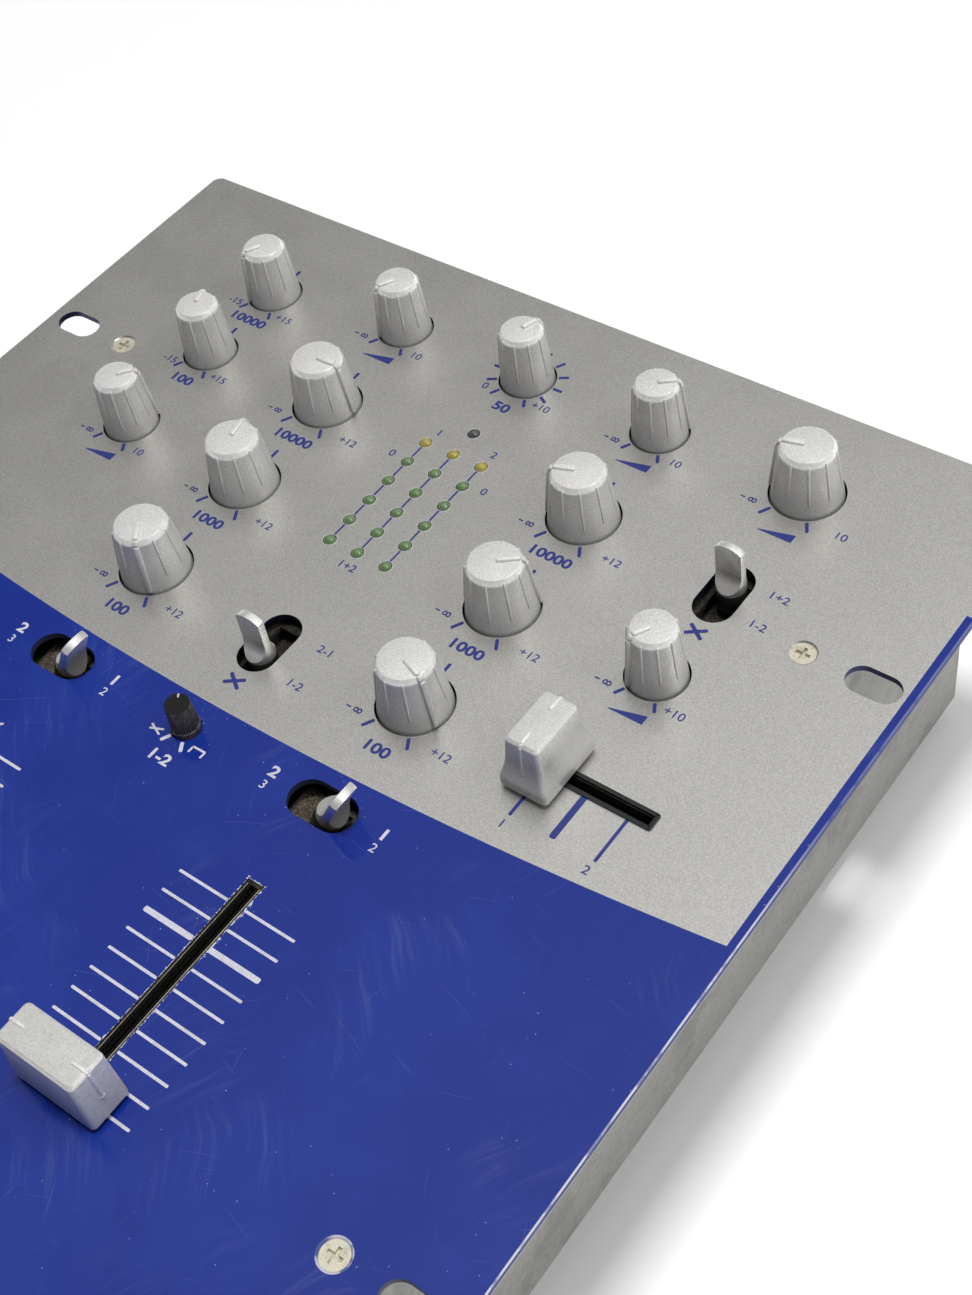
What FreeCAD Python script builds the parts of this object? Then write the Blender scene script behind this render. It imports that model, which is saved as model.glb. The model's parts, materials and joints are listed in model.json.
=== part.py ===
"""A two-channel disc jockey's mixer: a flat top panel, with rack ears, on a folded steel tray.

All lengths are millimetres. The origin is on the table, under the middle of the panel,
with +X to the operator's right, +Y to the back and +Z up. Every control stands where it
was left: knobs turned, switches thrown and faders pulled to their ends.
"""
import FreeCAD, Part
import math
import os
import re

import Sketcher
from FreeCAD import Placement, Rotation, Vector

SIZES = {
    # Top panel: places are given from row to row, and its outline follows from them.
    "channel_x": 38.5,
    "outer_gap": 39.6,
    "side_margin": 48.9,
    "back_margin": 25.5,
    "gain_pitch": 31.3,
    "eq_pitch": 31.2,
    "switch_pitch": 31.0,
    "fader_pitch": 51.05,
    "cross_pitch": 53.75,
    "front_margin": 32.0,
    "panel_gauge": 1.6,
    "panel_corner": 2.5,
    "rack_slot_inset": 9.4,
    "rack_slot_pitch": 155.1,
    "rack_slot_length": 12.6,
    "rack_slot_width": 7.4,
    "panel_screw_inset": 10.05,
    "screw_head_radius": 2.9,
    "screw_shank_radius": 1.5,
    "screw_length": 8.0,
    "screw_sink": 0.35,
    "screw_clearance": 0.05,
    "screw_cross_length": 3.4,
    "screw_cross_width": 0.8,
    "screw_cross_depth": 1.0,
    # Steel tray below the panel.
    "ear_width": 16.0,
    "panel_overhang": 8.2,
    "tray_height": 70.0,
    "tray_gauge": 1.2,
    "tray_bend": 1.8,
    "tab_length": 22.0,
    "tab_reach": 18.0,
    "foot_height": 5.0,
    "foot_radius": 9.0,
    "foot_taper": 1.2,
    "foot_recess_radius": 4.2,
    "foot_recess_depth": 2.4,
    "foot_inset": 20.0,
    "foot_screw_head_radius": 3.2,
    "foot_screw_head_height": 1.6,
    "foot_screw_grip": 4.0,
    # Control board hung below the panel.
    "board_drop": 11.0,
    "board_gauge": 1.6,
    "board_margin": 5.0,
    "board_end": 9.3,
    "board_notch": 3.0,
    "standoff_radius": 2.6,
    "standoff_inset": 20.0,
    "board_screw_radius": 1.35,
    "board_screw_head_radius": 2.6,
    "board_screw_head_height": 1.8,
    "board_screw_bite": 5.0,
    # Rotary controls.
    "shaft_radius": 3.0,
    "shaft_gap": 0.05,
    "pot_length": 11.0,
    "pot_width": 12.0,
    "pot_height": 6.6,
    "pot_neck_radius": 3.9,
    "pot_neck_height": 1.6,
    "slope_shaft_radius": 1.6,
    "slope_pot_width": 9.0,
    "slope_pot_height": 5.4,
    "slope_neck_radius": 2.4,
    "large_hole_radius": 8.9,
    "large_base_radius": 8.5,
    "large_rim_radius": 6.5,
    "large_top_radius": 5.75,
    "large_height": 15.0,
    "large_cavity": 9.5,
    "large_hub_radius": 4.4,
    "small_hole_radius": 7.25,
    "small_base_radius": 6.85,
    "small_rim_radius": 5.4,
    "small_top_radius": 4.7,
    "small_height": 15.8,
    "small_cavity": 6.0,
    "small_hub_radius": 4.2,
    "knob_sink": 1.0,
    "knob_chamfer": 1.2,
    "knob_wall": 1.2,
    "knob_roof": 3.0,
    "rib_width": 0.7,
    "rib_rise": 0.4,
    "rib_foot": 5.5,
    "pointer_width": 0.95,
    "pointer_rise": 0.45,
    "pointer_start": 0.8,
    "pointer_foot": 2.2,
    "slope_hole_radius": 4.4,
    "slope_base_radius": 4.0,
    "slope_top_radius": 3.15,
    "slope_height": 9.6,
    "slope_collar": 1.6,
    "flute_radius": 0.28,
    "mic_treble_shift": 5.7,
    "cue_row_shift": 1.5,
    "ch1_gain_turn": -150.0,
    "ch1_treble_turn": 88.0,
    "ch1_mid_turn": -11.0,
    "ch1_bass_turn": 145.0,
    "ch2_gain_turn": 54.0,
    "ch2_treble_turn": -110.0,
    "ch2_mid_turn": 53.0,
    "ch2_bass_turn": 110.0,
    "sub_bass_turn": 18.0,
    "master_turn": -105.0,
    "cue_gain_turn": -150.0,
    "mic_treble_turn": -150.0,
    "mic_bass_turn": -22.0,
    "mic_gain_turn": 40.0,
    "slope_turn": -34.0,
    # Paddle switches.
    "lever_radius": 3.4,
    "lever_length": 18.0,
    "lever_dome": 4.6,
    "lever_blade": 1.8,
    "lever_flare": 6.0,
    "lever_flare_start": 10.4,
    "lever_depth": 5.5,
    "toggle_slot_length": 16.8,
    "mode_slot_length": 17.5,
    "lever_slot_width": 9.6,
    "toggle_tilt": 28.0,
    "toggle_pin_radius": 0.8,
    "toggle_pin_reach": 5.2,
    "toggle_cheek": 1.4,
    "toggle_case_length": 19.0,
    "moving_gap": 0.4,
    "pin_gap": 0.05,
    "mode_throw": 6.0,
    "mode_foot_length": 8.4,
    "mode_foot_width": 8.4,
    "mode_foot_height": 2.4,
    "mode_lip": 1.2,
    "mode_case_wall": 1.5,
    "mode_switch_shift": 3.65,
    # Faders.
    "line_travel": 45.0,
    "cue_travel": 20.8,
    "cue_fader_offset": 4.9,
    "cue_fader_shift": 1.1,
    "fader_frame_width": 14.0,
    "fader_frame_height": 7.0,
    "fader_frame_gauge": 0.8,
    "fader_frame_end": 5.5,
    "carriage_length": 9.0,
    "tang_thickness": 1.2,
    "tang_length": 4.0,
    "line_fader_shift": 0.6,
    "line_slot_width": 4.2,
    "line_slot_end": 7.2,
    "cue_slot_width": 3.6,
    "cue_slot_end": 5.0,
    "bezel_slot_width": 2.1,
    "bezel_rim": 0.9,
    "bezel_flange": 2.5,
    "bezel_flange_gauge": 1.0,
    "bezel_sink": 0.3,
    "cap_float": 1.4,
    "cap_height": 14.4,
    "cap_bevel": 0.6,
    "cap_corner": 1.6,
    "cap_socket_depth": 9.0,
    "cap_ridge_width": 0.6,
    "cap_ridge_rise": 0.25,
    "cap_ridge_length": 3.6,
    "cap_ridge_foot": 7.0,
    "line_cap_base_length": 21.6,
    "line_cap_base_width": 9.8,
    "line_cap_top_length": 20.4,
    "line_cap_top_width": 9.0,
    "cue_cap_base_length": 18.0,
    "cue_cap_base_width": 11.8,
    "cue_cap_top_length": 14.4,
    "cue_cap_top_width": 8.4,
    "cue_cap_rim": 2.2,
    "cue_cap_waist": 6.4,
    # Level meter lamps.
    "led_radius": 1.5,
    "led_flange_radius": 1.9,
    "led_flange_height": 1.0,
    "led_length": 5.3,
    "led_stand": 1.0,
    "led_hole_gap": 0.15,
    "led_pitch_x": 8.3,
    "led_pitch_y": 7.25,
    "led_row_shift": 1.1,
    "power_led_gap": 8.1,
    # Rear and front sockets.
    "socket_row": 33.0,
    "socket_depth": 11.0,
    "rear_board_low": 17.0,
    "rear_board_height": 33.0,
    "phono_pitch": 14.0,
    "phono_column": 16.0,
    "phono_group": 54.0,
    "phono_group_shift": 22.0,
    "phono_barrel_radius": 4.15,
    "phono_barrel_wall": 0.8,
    "phono_pin_radius": 1.65,
    "phono_reach": 8.0,
    "phono_case_width": 13.0,
    "phono_case_height": 28.0,
    "socket_gap": 0.4,
    "rear_slider_width": 4.4,
    "rear_slider_height": 4.0,
    "rear_slider_reach": 2.4,
    "rear_slider_throw": 4.0,
    "rear_slider_foot": 2.0,
    "rear_slider_case_wall": 1.6,
    "usb_gap": 20.0,
    "usb_width": 12.0,
    "usb_height": 10.8,
    "usb_wall": 0.8,
    "usb_tongue_width": 5.6,
    "usb_tongue_height": 3.2,
    "power_gap": 17.0,
    "power_case_width": 10.0,
    "power_case_height": 11.0,
    "power_hole_radius": 3.2,
    "power_pin_radius": 1.0,
    "rocker_gap": 19.0,
    "rocker_width": 10.4,
    "rocker_height": 16.4,
    "rocker_rise": 3.2,
    "rocker_dip": 1.5,
    "rocker_tilt": 8.0,
    "rocker_pin_radius": 1.0,
    "rocker_frame_wall": 1.2,
    "rocker_frame_lip": 1.6,
    "rocker_frame_depth": 13.0,
    "rocker_room": 1.3,
    "ground_x": 20.0,
    "ground_radius": 1.9,
    "ground_head_radius": 3.8,
    "ground_head_height": 2.2,
    "ground_length": 9.0,
    "jack_radius": 3.25,
    "jack_depth": 26.0,
    "jack_case": 15.0,
    "jack_case_depth": 22.0,
    "jack_bush_radius": 4.7,
    "jack_bush_reach": 4.6,
    "jack_nut_across": 6.9,
    "jack_nut_height": 2.2,
    # Ribbon between the two boards.
    "ribbon_width": 24.0,
    "ribbon_gauge": 1.0,
    "ribbon_bend": 6.0,
    "header_width": 30.0,
    "header_depth": 6.0,
    "header_height": 8.0,
}

# Levels and places worked out from the sizes, as rules for the sheet.
UNDER = "(foot_height + tray_height)"
TOP = "(foot_height + tray_height + panel_gauge)"
BOARD = "(foot_height + tray_height - board_drop)"
OUTER_X = "(channel_x + outer_gap)"
HALF_WIDE = "(channel_x + outer_gap + side_margin)"
HALF_LONG = ("((back_margin + gain_pitch + 2 * eq_pitch + switch_pitch + fader_pitch"
             " + cross_pitch + front_margin) / 2)")
GAIN_Y = f"({HALF_LONG} - back_margin)"
TREBLE_Y = f"({GAIN_Y} - gain_pitch)"
MID_Y = f"({TREBLE_Y} - eq_pitch)"
BASS_Y = f"({MID_Y} - eq_pitch)"
SWITCH_Y = f"({BASS_Y} - switch_pitch)"
FADER_Y = f"({SWITCH_Y} - fader_pitch)"
CROSS_Y = f"({FADER_Y} - cross_pitch)"
CUE_ROW_Y = f"({MID_Y} + cue_row_shift)"
CUE_SWITCH_Y = f"({TREBLE_Y} - mode_switch_shift)"
CROSS_SWITCH_Y = f"({BASS_Y} - mode_switch_shift)"
CUE_FADER_X = f"({OUTER_X} + cue_fader_offset)"
CUE_FADER_Y = f"({BASS_Y} + cue_fader_shift)"
LED_TOP_Y = f"({TREBLE_Y} + led_row_shift)"
TRAY_X = f"({HALF_WIDE} - ear_width)"
TRAY_Y = f"({HALF_LONG} - panel_overhang)"
FADER_X = "(channel_x + line_fader_shift)"
RACK_X = f"({HALF_WIDE} - rack_slot_inset)"
PANEL_SCREW_X = f"({TRAY_X} - panel_screw_inset)"
REAR_IN = f"({TRAY_Y} - tray_gauge)"
SOCKET_Z = "(foot_height + socket_row)"

# Every rotary control: name, pattern of knob, and place.
KNOBS = (
    ("ch1_gain", "small", "-channel_x", GAIN_Y),
    ("ch1_treble", "large", "-channel_x", TREBLE_Y),
    ("ch1_mid", "large", "-channel_x", MID_Y),
    ("ch1_bass", "large", "-channel_x", BASS_Y),
    ("ch2_gain", "small", "channel_x", GAIN_Y),
    ("ch2_treble", "large", "channel_x", TREBLE_Y),
    ("ch2_mid", "large", "channel_x", MID_Y),
    ("ch2_bass", "large", "channel_x", BASS_Y),
    ("sub_bass", "small", "0", GAIN_Y),
    ("master", "large", OUTER_X, GAIN_Y),
    ("cue_gain", "small", OUTER_X, CUE_ROW_Y),
    ("mic_treble", "small", f"-{OUTER_X}", f"{GAIN_Y} - mic_treble_shift"),
    ("mic_bass", "small", f"-{OUTER_X}", TREBLE_Y),
    ("mic_gain", "small", f"-{OUTER_X}", CUE_ROW_Y),
)
# Every fader: name, pattern, middle of its slot, the way it runs, and where it was left.
FADERS = (
    ("ch1_fader", "line", f"-{FADER_X}", FADER_Y, "y", "- line_travel / 2"),
    ("ch2_fader", "line", FADER_X, FADER_Y, "y", "- line_travel / 2"),
    ("cue_fader", "cue", CUE_FADER_X, CUE_FADER_Y, "x", "- cue_travel / 2"),
    ("crossfader", "line", "0", CROSS_Y, "x", ""),
)
# Every paddle switch: middle of its slot, the way it runs, and the slot's length.
LEVERS = (
    ("-channel_x", SWITCH_Y, "x", "toggle_slot_length"),
    ("channel_x", SWITCH_Y, "x", "toggle_slot_length"),
    ("0", CROSS_SWITCH_Y, "y", "mode_slot_length"),
    (OUTER_X, CUE_SWITCH_Y, "y", "mode_slot_length"),
)
RIB_COUNT = 10
FLUTE_COUNT = 18
LED_COLUMNS = 3
LED_ROWS = 6
SIGNS = ("-", "")
CORNERS = [(right, back) for right in SIGNS for back in SIGNS]
UPRIGHT = Rotation()
BACKWARD = Rotation(Vector(1, 0, 0), -90)
FORWARD = Rotation(Vector(1, 0, 0), 90)
SIDEWAYS = Rotation(Vector(0, 1, 0), 90)
QUARTER = Rotation(Vector(0, 0, 1), 90)

doc = FreeCAD.newDocument("Mixer")
sheet = doc.addObject("Spreadsheet::Sheet", "Sizes")
for row, (alias, number) in enumerate(SIZES.items(), 1):
    sheet.set(f"A{row}", alias)
    sheet.set(f"B{row}", str(number))
    sheet.setAlias(f"B{row}", alias)
doc.recompute()
nodes = []


def rule(text):
    """An expression in which each size is read from the sheet."""
    return re.sub(r"[a-z][a-z0-9_]*", lambda word: f"Sizes.{word[0]}", text)


def bind(item, **rules):
    for name, text in rules.items():
        item.setExpression(name, rule(text))


def place(item, x="0", y="0", z="0", turned=UPRIGHT):
    item.Placement = Placement(Vector(), turned)
    for name, text in zip("xyz", (x, y, z)):
        item.setExpression(f"Placement.Base.{name}", rule(text))
    return item


def node(item, label):
    """Marks a finished sub-part, which is written to a file of its own."""
    item.Label = label
    nodes.append(item)
    return item


# Primitives and booleans.
def block(name, length, width, height, x="0", y="0", z="0"):
    """A box centred on x and y that stands on z."""
    item = doc.addObject("Part::Box", name)
    bind(item, Length=length, Width=width, Height=height)
    return place(item, f"({x}) - ({length}) / 2", f"({y}) - ({width}) / 2", z)


def rod(name, radius, height, x="0", y="0", z="0", turned=UPRIGHT):
    item = doc.addObject("Part::Cylinder", name)
    bind(item, Radius=radius, Height=height)
    return place(item, x, y, z, turned)


def fuse(name, *pieces):
    item = doc.addObject("Part::MultiFuse", name)
    item.Shapes = list(pieces)
    item.Refine = True
    return item


def cut(name, base, *tools):
    item = doc.addObject("Part::Cut", name)
    item.Base = base
    item.Tool = tools[0] if len(tools) == 1 else fuse(f"{name}_tools", *tools)
    item.Refine = True
    return item


def group(label, pieces):
    """Separate solids that are kept in one sub-part."""
    item = doc.addObject("Part::Compound", label)
    item.Links = list(pieces)
    return node(item, label)


def copy(master, x="0", y="0", z="0", turned=UPRIGHT):
    item = doc.addObject("App::Link", f"{master.Name}_copy")
    item.LinkedObject = master
    return place(item, x, y, z, turned)


# Bodies with sketches.
def new_body(name):
    return doc.addObject("PartDesign::Body", name)


def draw(body, name, role, lift="0"):
    """An empty sketch on one of the body's own planes, lifted along the plane's normal."""
    drawing = body.newObject("Sketcher::SketchObject", f"{body.Name}_{name}")
    plane = next(feature for feature in body.Origin.OriginFeatures if feature.Role == role)
    drawing.AttachmentSupport = (plane, [""])
    drawing.MapMode = "FlatFace"
    drawing.setExpression("AttachmentOffset.Base.z", rule(lift))
    return drawing


def pin(drawing, edge, point, x, y):
    """Holds a point of a sketch at a place."""
    for kind, text in (("DistanceX", x), ("DistanceY", y)):
        index = drawing.addConstraint(Sketcher.Constraint(kind, -1, 1, edge, point, 1.0))
        drawing.setExpression(f"Constraints[{index}]", rule(text))


def polygon(drawing, points):
    """A closed outline of straight edges, with each corner held at its own place."""
    first = drawing.GeometryCount
    count = len(points)
    ring = [Vector(math.cos(2 * math.pi * i / count), math.sin(2 * math.pi * i / count), 0)
            for i in range(count)]
    for i in range(count):
        drawing.addGeometry(Part.LineSegment(ring[i], ring[(i + 1) % count]))
    for i in range(count):
        drawing.addConstraint(Sketcher.Constraint("Coincident", first + i, 2, first + (i + 1) % count, 1))
    for i, (x, y) in enumerate(points):
        pin(drawing, first + i, 1, x, y)


def rectangle(drawing, length, width, x="0", y="0"):
    ends = [f"({x}) - ({length}) / 2", f"({x}) + ({length}) / 2"]
    sides = [f"({y}) - ({width}) / 2", f"({y}) + ({width}) / 2"]
    polygon(drawing, [(ends[0], sides[0]), (ends[1], sides[0]), (ends[1], sides[1]), (ends[0], sides[1])])


def rounded_rectangle(drawing, length, width, corner):
    """A rectangle about the sketch's origin whose sides run tangent into its corner arcs."""
    spots = ((1, 1), (-1, 1), (-1, -1), (1, -1))
    arcs = []
    for number, (right, up) in enumerate(spots):
        start = number * math.pi / 2
        ring = Part.Circle(Vector(2 * right, 2 * up, 0), Vector(0, 0, 1), 1.0)
        arcs.append(drawing.addGeometry(Part.ArcOfCircle(ring, start, start + math.pi / 2)))
    for arc, following in zip(arcs, arcs[1:] + arcs[:1]):
        ends = drawing.getPoint(arc, 2), drawing.getPoint(following, 1)
        line = drawing.addGeometry(Part.LineSegment(*ends))
        drawing.addConstraint(Sketcher.Constraint("Tangent", arc, 2, line, 1))
        drawing.addConstraint(Sketcher.Constraint("Tangent", line, 2, following, 1))
    for arc, (right, up) in zip(arcs, spots):
        pin(drawing, arc, 3, f"{right} * (({length}) / 2 - {corner})", f"{up} * (({width}) / 2 - {corner})")
        size = drawing.addConstraint(Sketcher.Constraint("Radius", arc, 1.0))
        drawing.setExpression(f"Constraints[{size}]", rule(corner))


def circle(drawing, radius, x="0", y="0"):
    index = drawing.addGeometry(Part.Circle(Vector(), Vector(0, 0, 1), 1.0))
    pin(drawing, index, 3, x, y)
    size = drawing.addConstraint(Sketcher.Constraint("Radius", index, 1.0))
    drawing.setExpression(f"Constraints[{size}]", rule(radius))


def pad(body, drawing, length, symmetric=False):
    item = body.newObject("PartDesign::Pad", f"{drawing.Name}_pad")
    item.Profile = drawing
    bind(item, Length=length)
    item.SideType = "Symmetric" if symmetric else "One side"
    return item


def pocket(body, drawing, length=None, symmetric=True):
    """A cut of some length about its sketch or, with no length, through everything."""
    item = body.newObject("PartDesign::Pocket", f"{drawing.Name}_cut")
    item.Profile = drawing
    if length is None:
        item.Type = "ThroughAll"
    else:
        bind(item, Length=length)
    if symmetric:
        item.SideType = "Symmetric"
    else:
        item.Reversed = True
    return item


def turn(body, drawing):
    """Turns a half section about the body's Z axis."""
    item = body.newObject("PartDesign::Revolution", f"{drawing.Name}_turned")
    item.Profile = drawing
    item.ReferenceAxis = (drawing, ["V_Axis"])
    item.Angle = 360
    return item


def revolve(body, name, points):
    """Turns a half section of straight edges, given as radius and height."""
    drawing = draw(body, name, "XZ_Plane")
    polygon(drawing, points)
    return turn(body, drawing)


def domed_stem(body, radius, height, dome):
    """Turns a round stem whose top is part of a ball."""
    drawing = draw(body, "stem", "XZ_Plane")
    ball = Part.Circle(Vector(0, 1, 0), Vector(0, 0, 1), math.sqrt(2))
    outline = (Part.LineSegment(Vector(0, 0, 0), Vector(1, 0, 0)),
               Part.LineSegment(Vector(1, 0, 0), Vector(1, 2, 0)),
               Part.ArcOfCircle(ball, math.pi / 4, math.pi / 2),
               Part.LineSegment(Vector(0, 1 + math.sqrt(2), 0), Vector(0, 0, 0)))
    foot, side, top, axis = [drawing.addGeometry(edge) for edge in outline]
    for edge, following in ((foot, side), (side, top), (top, axis), (axis, foot)):
        drawing.addConstraint(Sketcher.Constraint("Coincident", edge, 2, following, 1))
    drawing.addConstraint(Sketcher.Constraint("Vertical", side))
    pin(drawing, foot, 1, "0", "0")
    pin(drawing, foot, 2, radius, "0")
    pin(drawing, top, 2, "0", height)
    pin(drawing, top, 3, "0", f"{height} - {dome}")
    return turn(body, drawing)


def around(body, feature, axis_drawing, count):
    """Repeats a feature evenly about the body's Z axis."""
    item = body.newObject("PartDesign::PolarPattern", f"{feature.Name}_ring")
    item.Originals = [feature]
    item.Axis = (axis_drawing, ["V_Axis"])
    item.Angle = 360
    item.Occurrences = count
    body.Tip = item
    return item


def round_edges(body, feature, radius, wanted):
    """Rounds the straight edges of a feature whose ends satisfy a test."""
    doc.recompute()
    names = [f"Edge{number}" for number, edge in enumerate(feature.Shape.Edges, 1)
             if wanted(edge.Vertexes[0].Point, edge.Vertexes[-1].Point)]
    item = body.newObject("PartDesign::Fillet", f"{feature.Name}_rounding")
    item.Base = (feature, names)
    bind(item, Radius=radius)
    return item


def is_upright(start, end):
    return abs(start.x - end.x) + abs(start.y - end.y) < abs(start.z - end.z)


def is_upright_or_low(start, end):
    return is_upright(start, end) or max(start.z, end.z) < 1e-6


# Panel and tray.
def make_top_panel():
    body = new_body("top_panel")
    outline = draw(body, "outline", "XY_Plane")
    rectangle(outline, f"2 * {HALF_WIDE}", f"2 * {HALF_LONG}")
    plate = pad(body, outline, "panel_gauge")
    round_edges(body, plate, "panel_corner", is_upright)

    holes = draw(body, "holes", "XY_Plane")
    for _, kind, x, y in KNOBS:
        circle(holes, f"{kind}_hole_radius", x, y)
    circle(holes, "slope_hole_radius", "0", SWITCH_Y)
    for x, y in led_places() + [power_led_place()]:
        circle(holes, "led_radius + led_hole_gap", x, y)
    pocket(body, holes)

    windows = draw(body, "windows", "XY_Plane")
    for _, kind, x, y, along, _ in FADERS:
        length, width = f"{kind}_travel + 2 * {kind}_slot_end", f"{kind}_slot_width"
        size = (length, width) if along == "x" else (width, length)
        rectangle(windows, *size, x, y)
    pocket(body, windows)

    slots = []
    for right, back in CORNERS:
        x, y = f"{right}{RACK_X}", f"{back}rack_slot_pitch / 2"
        slots.append((x, y, "x", "rack_slot_length", "rack_slot_width"))
    for x, y, along, length in LEVERS:
        slots.append((x, y, along, length, "lever_slot_width"))
    middles = draw(body, "slot_middles", "XY_Plane")
    ends = [draw(body, "slot_starts", "XY_Plane"), draw(body, "slot_ends", "XY_Plane")]
    for x, y, along, length, width in slots:
        straight = f"({length} - {width})"
        size = (straight, width) if along == "x" else (width, straight)
        rectangle(middles, *size, x, y)
        for drawing, sign in zip(ends, "-+"):
            shift = f"{sign} {straight} / 2"
            centre = (f"{x} {shift}", y) if along == "x" else (x, f"{y} {shift}")
            circle(drawing, f"{width} / 2", *centre)
    for drawing in [middles] + ends:
        pocket(body, drawing)

    screws = draw(body, "screws", "XY_Plane", "panel_gauge")
    for x, y in panel_screw_places():
        circle(screws, "screw_shank_radius + screw_clearance", x, y)
    doc.recompute()
    sunk = body.newObject("PartDesign::Hole", "top_panel_countersinks")
    sunk.Profile = screws
    sunk.DepthType = "ThroughAll"
    sunk.HoleCutType = "Countersink"
    bind(sunk, Diameter="2 * (screw_shank_radius + screw_clearance)",
         HoleCutDiameter="2 * (screw_head_radius + screw_sink + screw_clearance)")
    sunk.HoleCutCountersinkAngle = 90
    node(place(body, z=UNDER), "top_panel")


def led_places():
    columns = range(-(LED_COLUMNS // 2), LED_COLUMNS // 2 + 1)
    return [(f"{column} * led_pitch_x", f"{LED_TOP_Y} - {step} * led_pitch_y")
            for step in range(LED_ROWS) for column in columns]


def power_led_place():
    return "0", f"{LED_TOP_Y} + power_led_gap"


def panel_screw_places():
    return [(f"{right}{PANEL_SCREW_X}", f"{back}rack_slot_pitch / 2") for right, back in CORNERS]


def foot_places():
    x, y = f"({TRAY_X} - foot_inset)", f"({TRAY_Y} - foot_inset)"
    return [(f"{right}{x}", f"{back}{y}") for right, back in CORNERS]


def phono_columns():
    groups = [f"({step} * phono_group - phono_group_shift)" for step in (-1, 0, 1)]
    return [f"{middle} {sign} phono_column / 2" for middle in groups for sign in "-+"]


def phono_places():
    return [(x, f"{SOCKET_Z} {sign} phono_pitch / 2") for x in phono_columns() for sign in "-+"]


def rear_slider_places():
    return [f"({step} * phono_group / 2 - phono_group_shift)" for step in (-1, 1)]


USB_X = "(phono_group - phono_group_shift + phono_column / 2 + usb_gap)"
POWER_X = f"({USB_X} + power_gap)"
ROCKER_X = f"({POWER_X} + rocker_gap)"
GROUND_X = "(-phono_group - phono_group_shift - ground_x)"
JACKS = (("microphone_socket", f"-{OUTER_X}"), ("headphone_socket", OUTER_X))


def make_chassis_tray():
    body = new_body("chassis_tray")
    outline = draw(body, "outline", "XY_Plane")
    rectangle(outline, f"2 * {TRAY_X}", f"2 * {TRAY_Y}")
    shell = pad(body, outline, "tray_height")
    round_edges(body, shell, "tray_bend", is_upright_or_low)
    cavity = draw(body, "cavity", "XY_Plane", "tray_gauge")
    rectangle(cavity, f"2 * ({TRAY_X} - tray_gauge)", f"2 * ({TRAY_Y} - tray_gauge)")
    pocket(body, cavity, symmetric=False)
    tabs = draw(body, "tabs", "XY_Plane", "tray_height - tray_gauge")
    for right, back in CORNERS:
        middle = f"{right}({TRAY_X} - tray_gauge / 2 - tab_reach / 2)"
        rectangle(tabs, "tab_reach", "tab_length", middle, f"{back}rack_slot_pitch / 2")
    pad(body, tabs, "tray_gauge")

    screws = draw(body, "screws", "XY_Plane", "tray_height")
    for x, y in panel_screw_places():
        circle(screws, "screw_shank_radius + screw_sink", x, y)
    pocket(body, screws, "4 * tray_gauge")
    feet = draw(body, "foot_screws", "XY_Plane")
    for x, y in foot_places():
        circle(feet, "screw_shank_radius + screw_clearance", x, y)
    pocket(body, feet, "4 * tray_gauge")

    rear = draw(body, "rear_holes", "XZ_Plane", f"tray_gauge / 2 - {TRAY_Y}")
    for x, z in phono_places():
        circle(rear, "phono_barrel_radius + socket_gap", x, f"{z} - foot_height")
    for x in rear_slider_places():
        rectangle(rear, "rear_slider_width + rear_slider_throw + 2 * moving_gap",
                  "rear_slider_height + 2 * moving_gap", x, "socket_row")
    rectangle(rear, "usb_width + 2 * socket_gap", "usb_height + 2 * socket_gap", USB_X, "socket_row")
    circle(rear, "power_hole_radius + power_pin_radius + socket_gap", POWER_X, "socket_row")
    rectangle(rear, "rocker_width + 2 * (moving_gap + rocker_frame_wall + socket_gap)",
              "rocker_height + 2 * (rocker_room + rocker_frame_wall + socket_gap)", ROCKER_X, "socket_row")
    circle(rear, "ground_radius + screw_clearance", GROUND_X, "socket_row")
    pocket(body, rear, "4 * tray_gauge")
    front = draw(body, "front_holes", "XZ_Plane", f"{TRAY_Y} - tray_gauge / 2")
    for _, x in JACKS:
        circle(front, "jack_bush_radius + socket_gap", x, "socket_row")
    pocket(body, front, "4 * tray_gauge")
    node(place(body, z="foot_height"), "chassis_tray")


def cross_recess(body, level):
    """The driver's cross in a screw head."""
    cross = draw(body, "cross", "XY_Plane", level)
    arm, half = "(screw_cross_length / 2)", "(screw_cross_width / 2)"
    polygon(cross, [
        (half, half), (half, arm), (f"-{half}", arm), (f"-{half}", half), (f"-{arm}", half),
        (f"-{arm}", f"-{half}"), (f"-{half}", f"-{half}"), (f"-{half}", f"-{arm}"), (half, f"-{arm}"),
        (half, f"-{half}"), (arm, f"-{half}"), (arm, half)])
    pocket(body, cross, "2 * screw_cross_depth")


def make_panel_screws():
    body = new_body("panel_screw")
    revolve(body, "section", [
        ("0", "-screw_length"), ("screw_shank_radius", "-screw_length"),
        ("screw_shank_radius", "screw_shank_radius - screw_head_radius"),
        ("screw_head_radius", "0"), ("0", "0")])
    cross_recess(body, "0")
    group("panel_screws", [copy(body, x, y, f"{TOP} - screw_sink") for x, y in panel_screw_places()])


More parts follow.
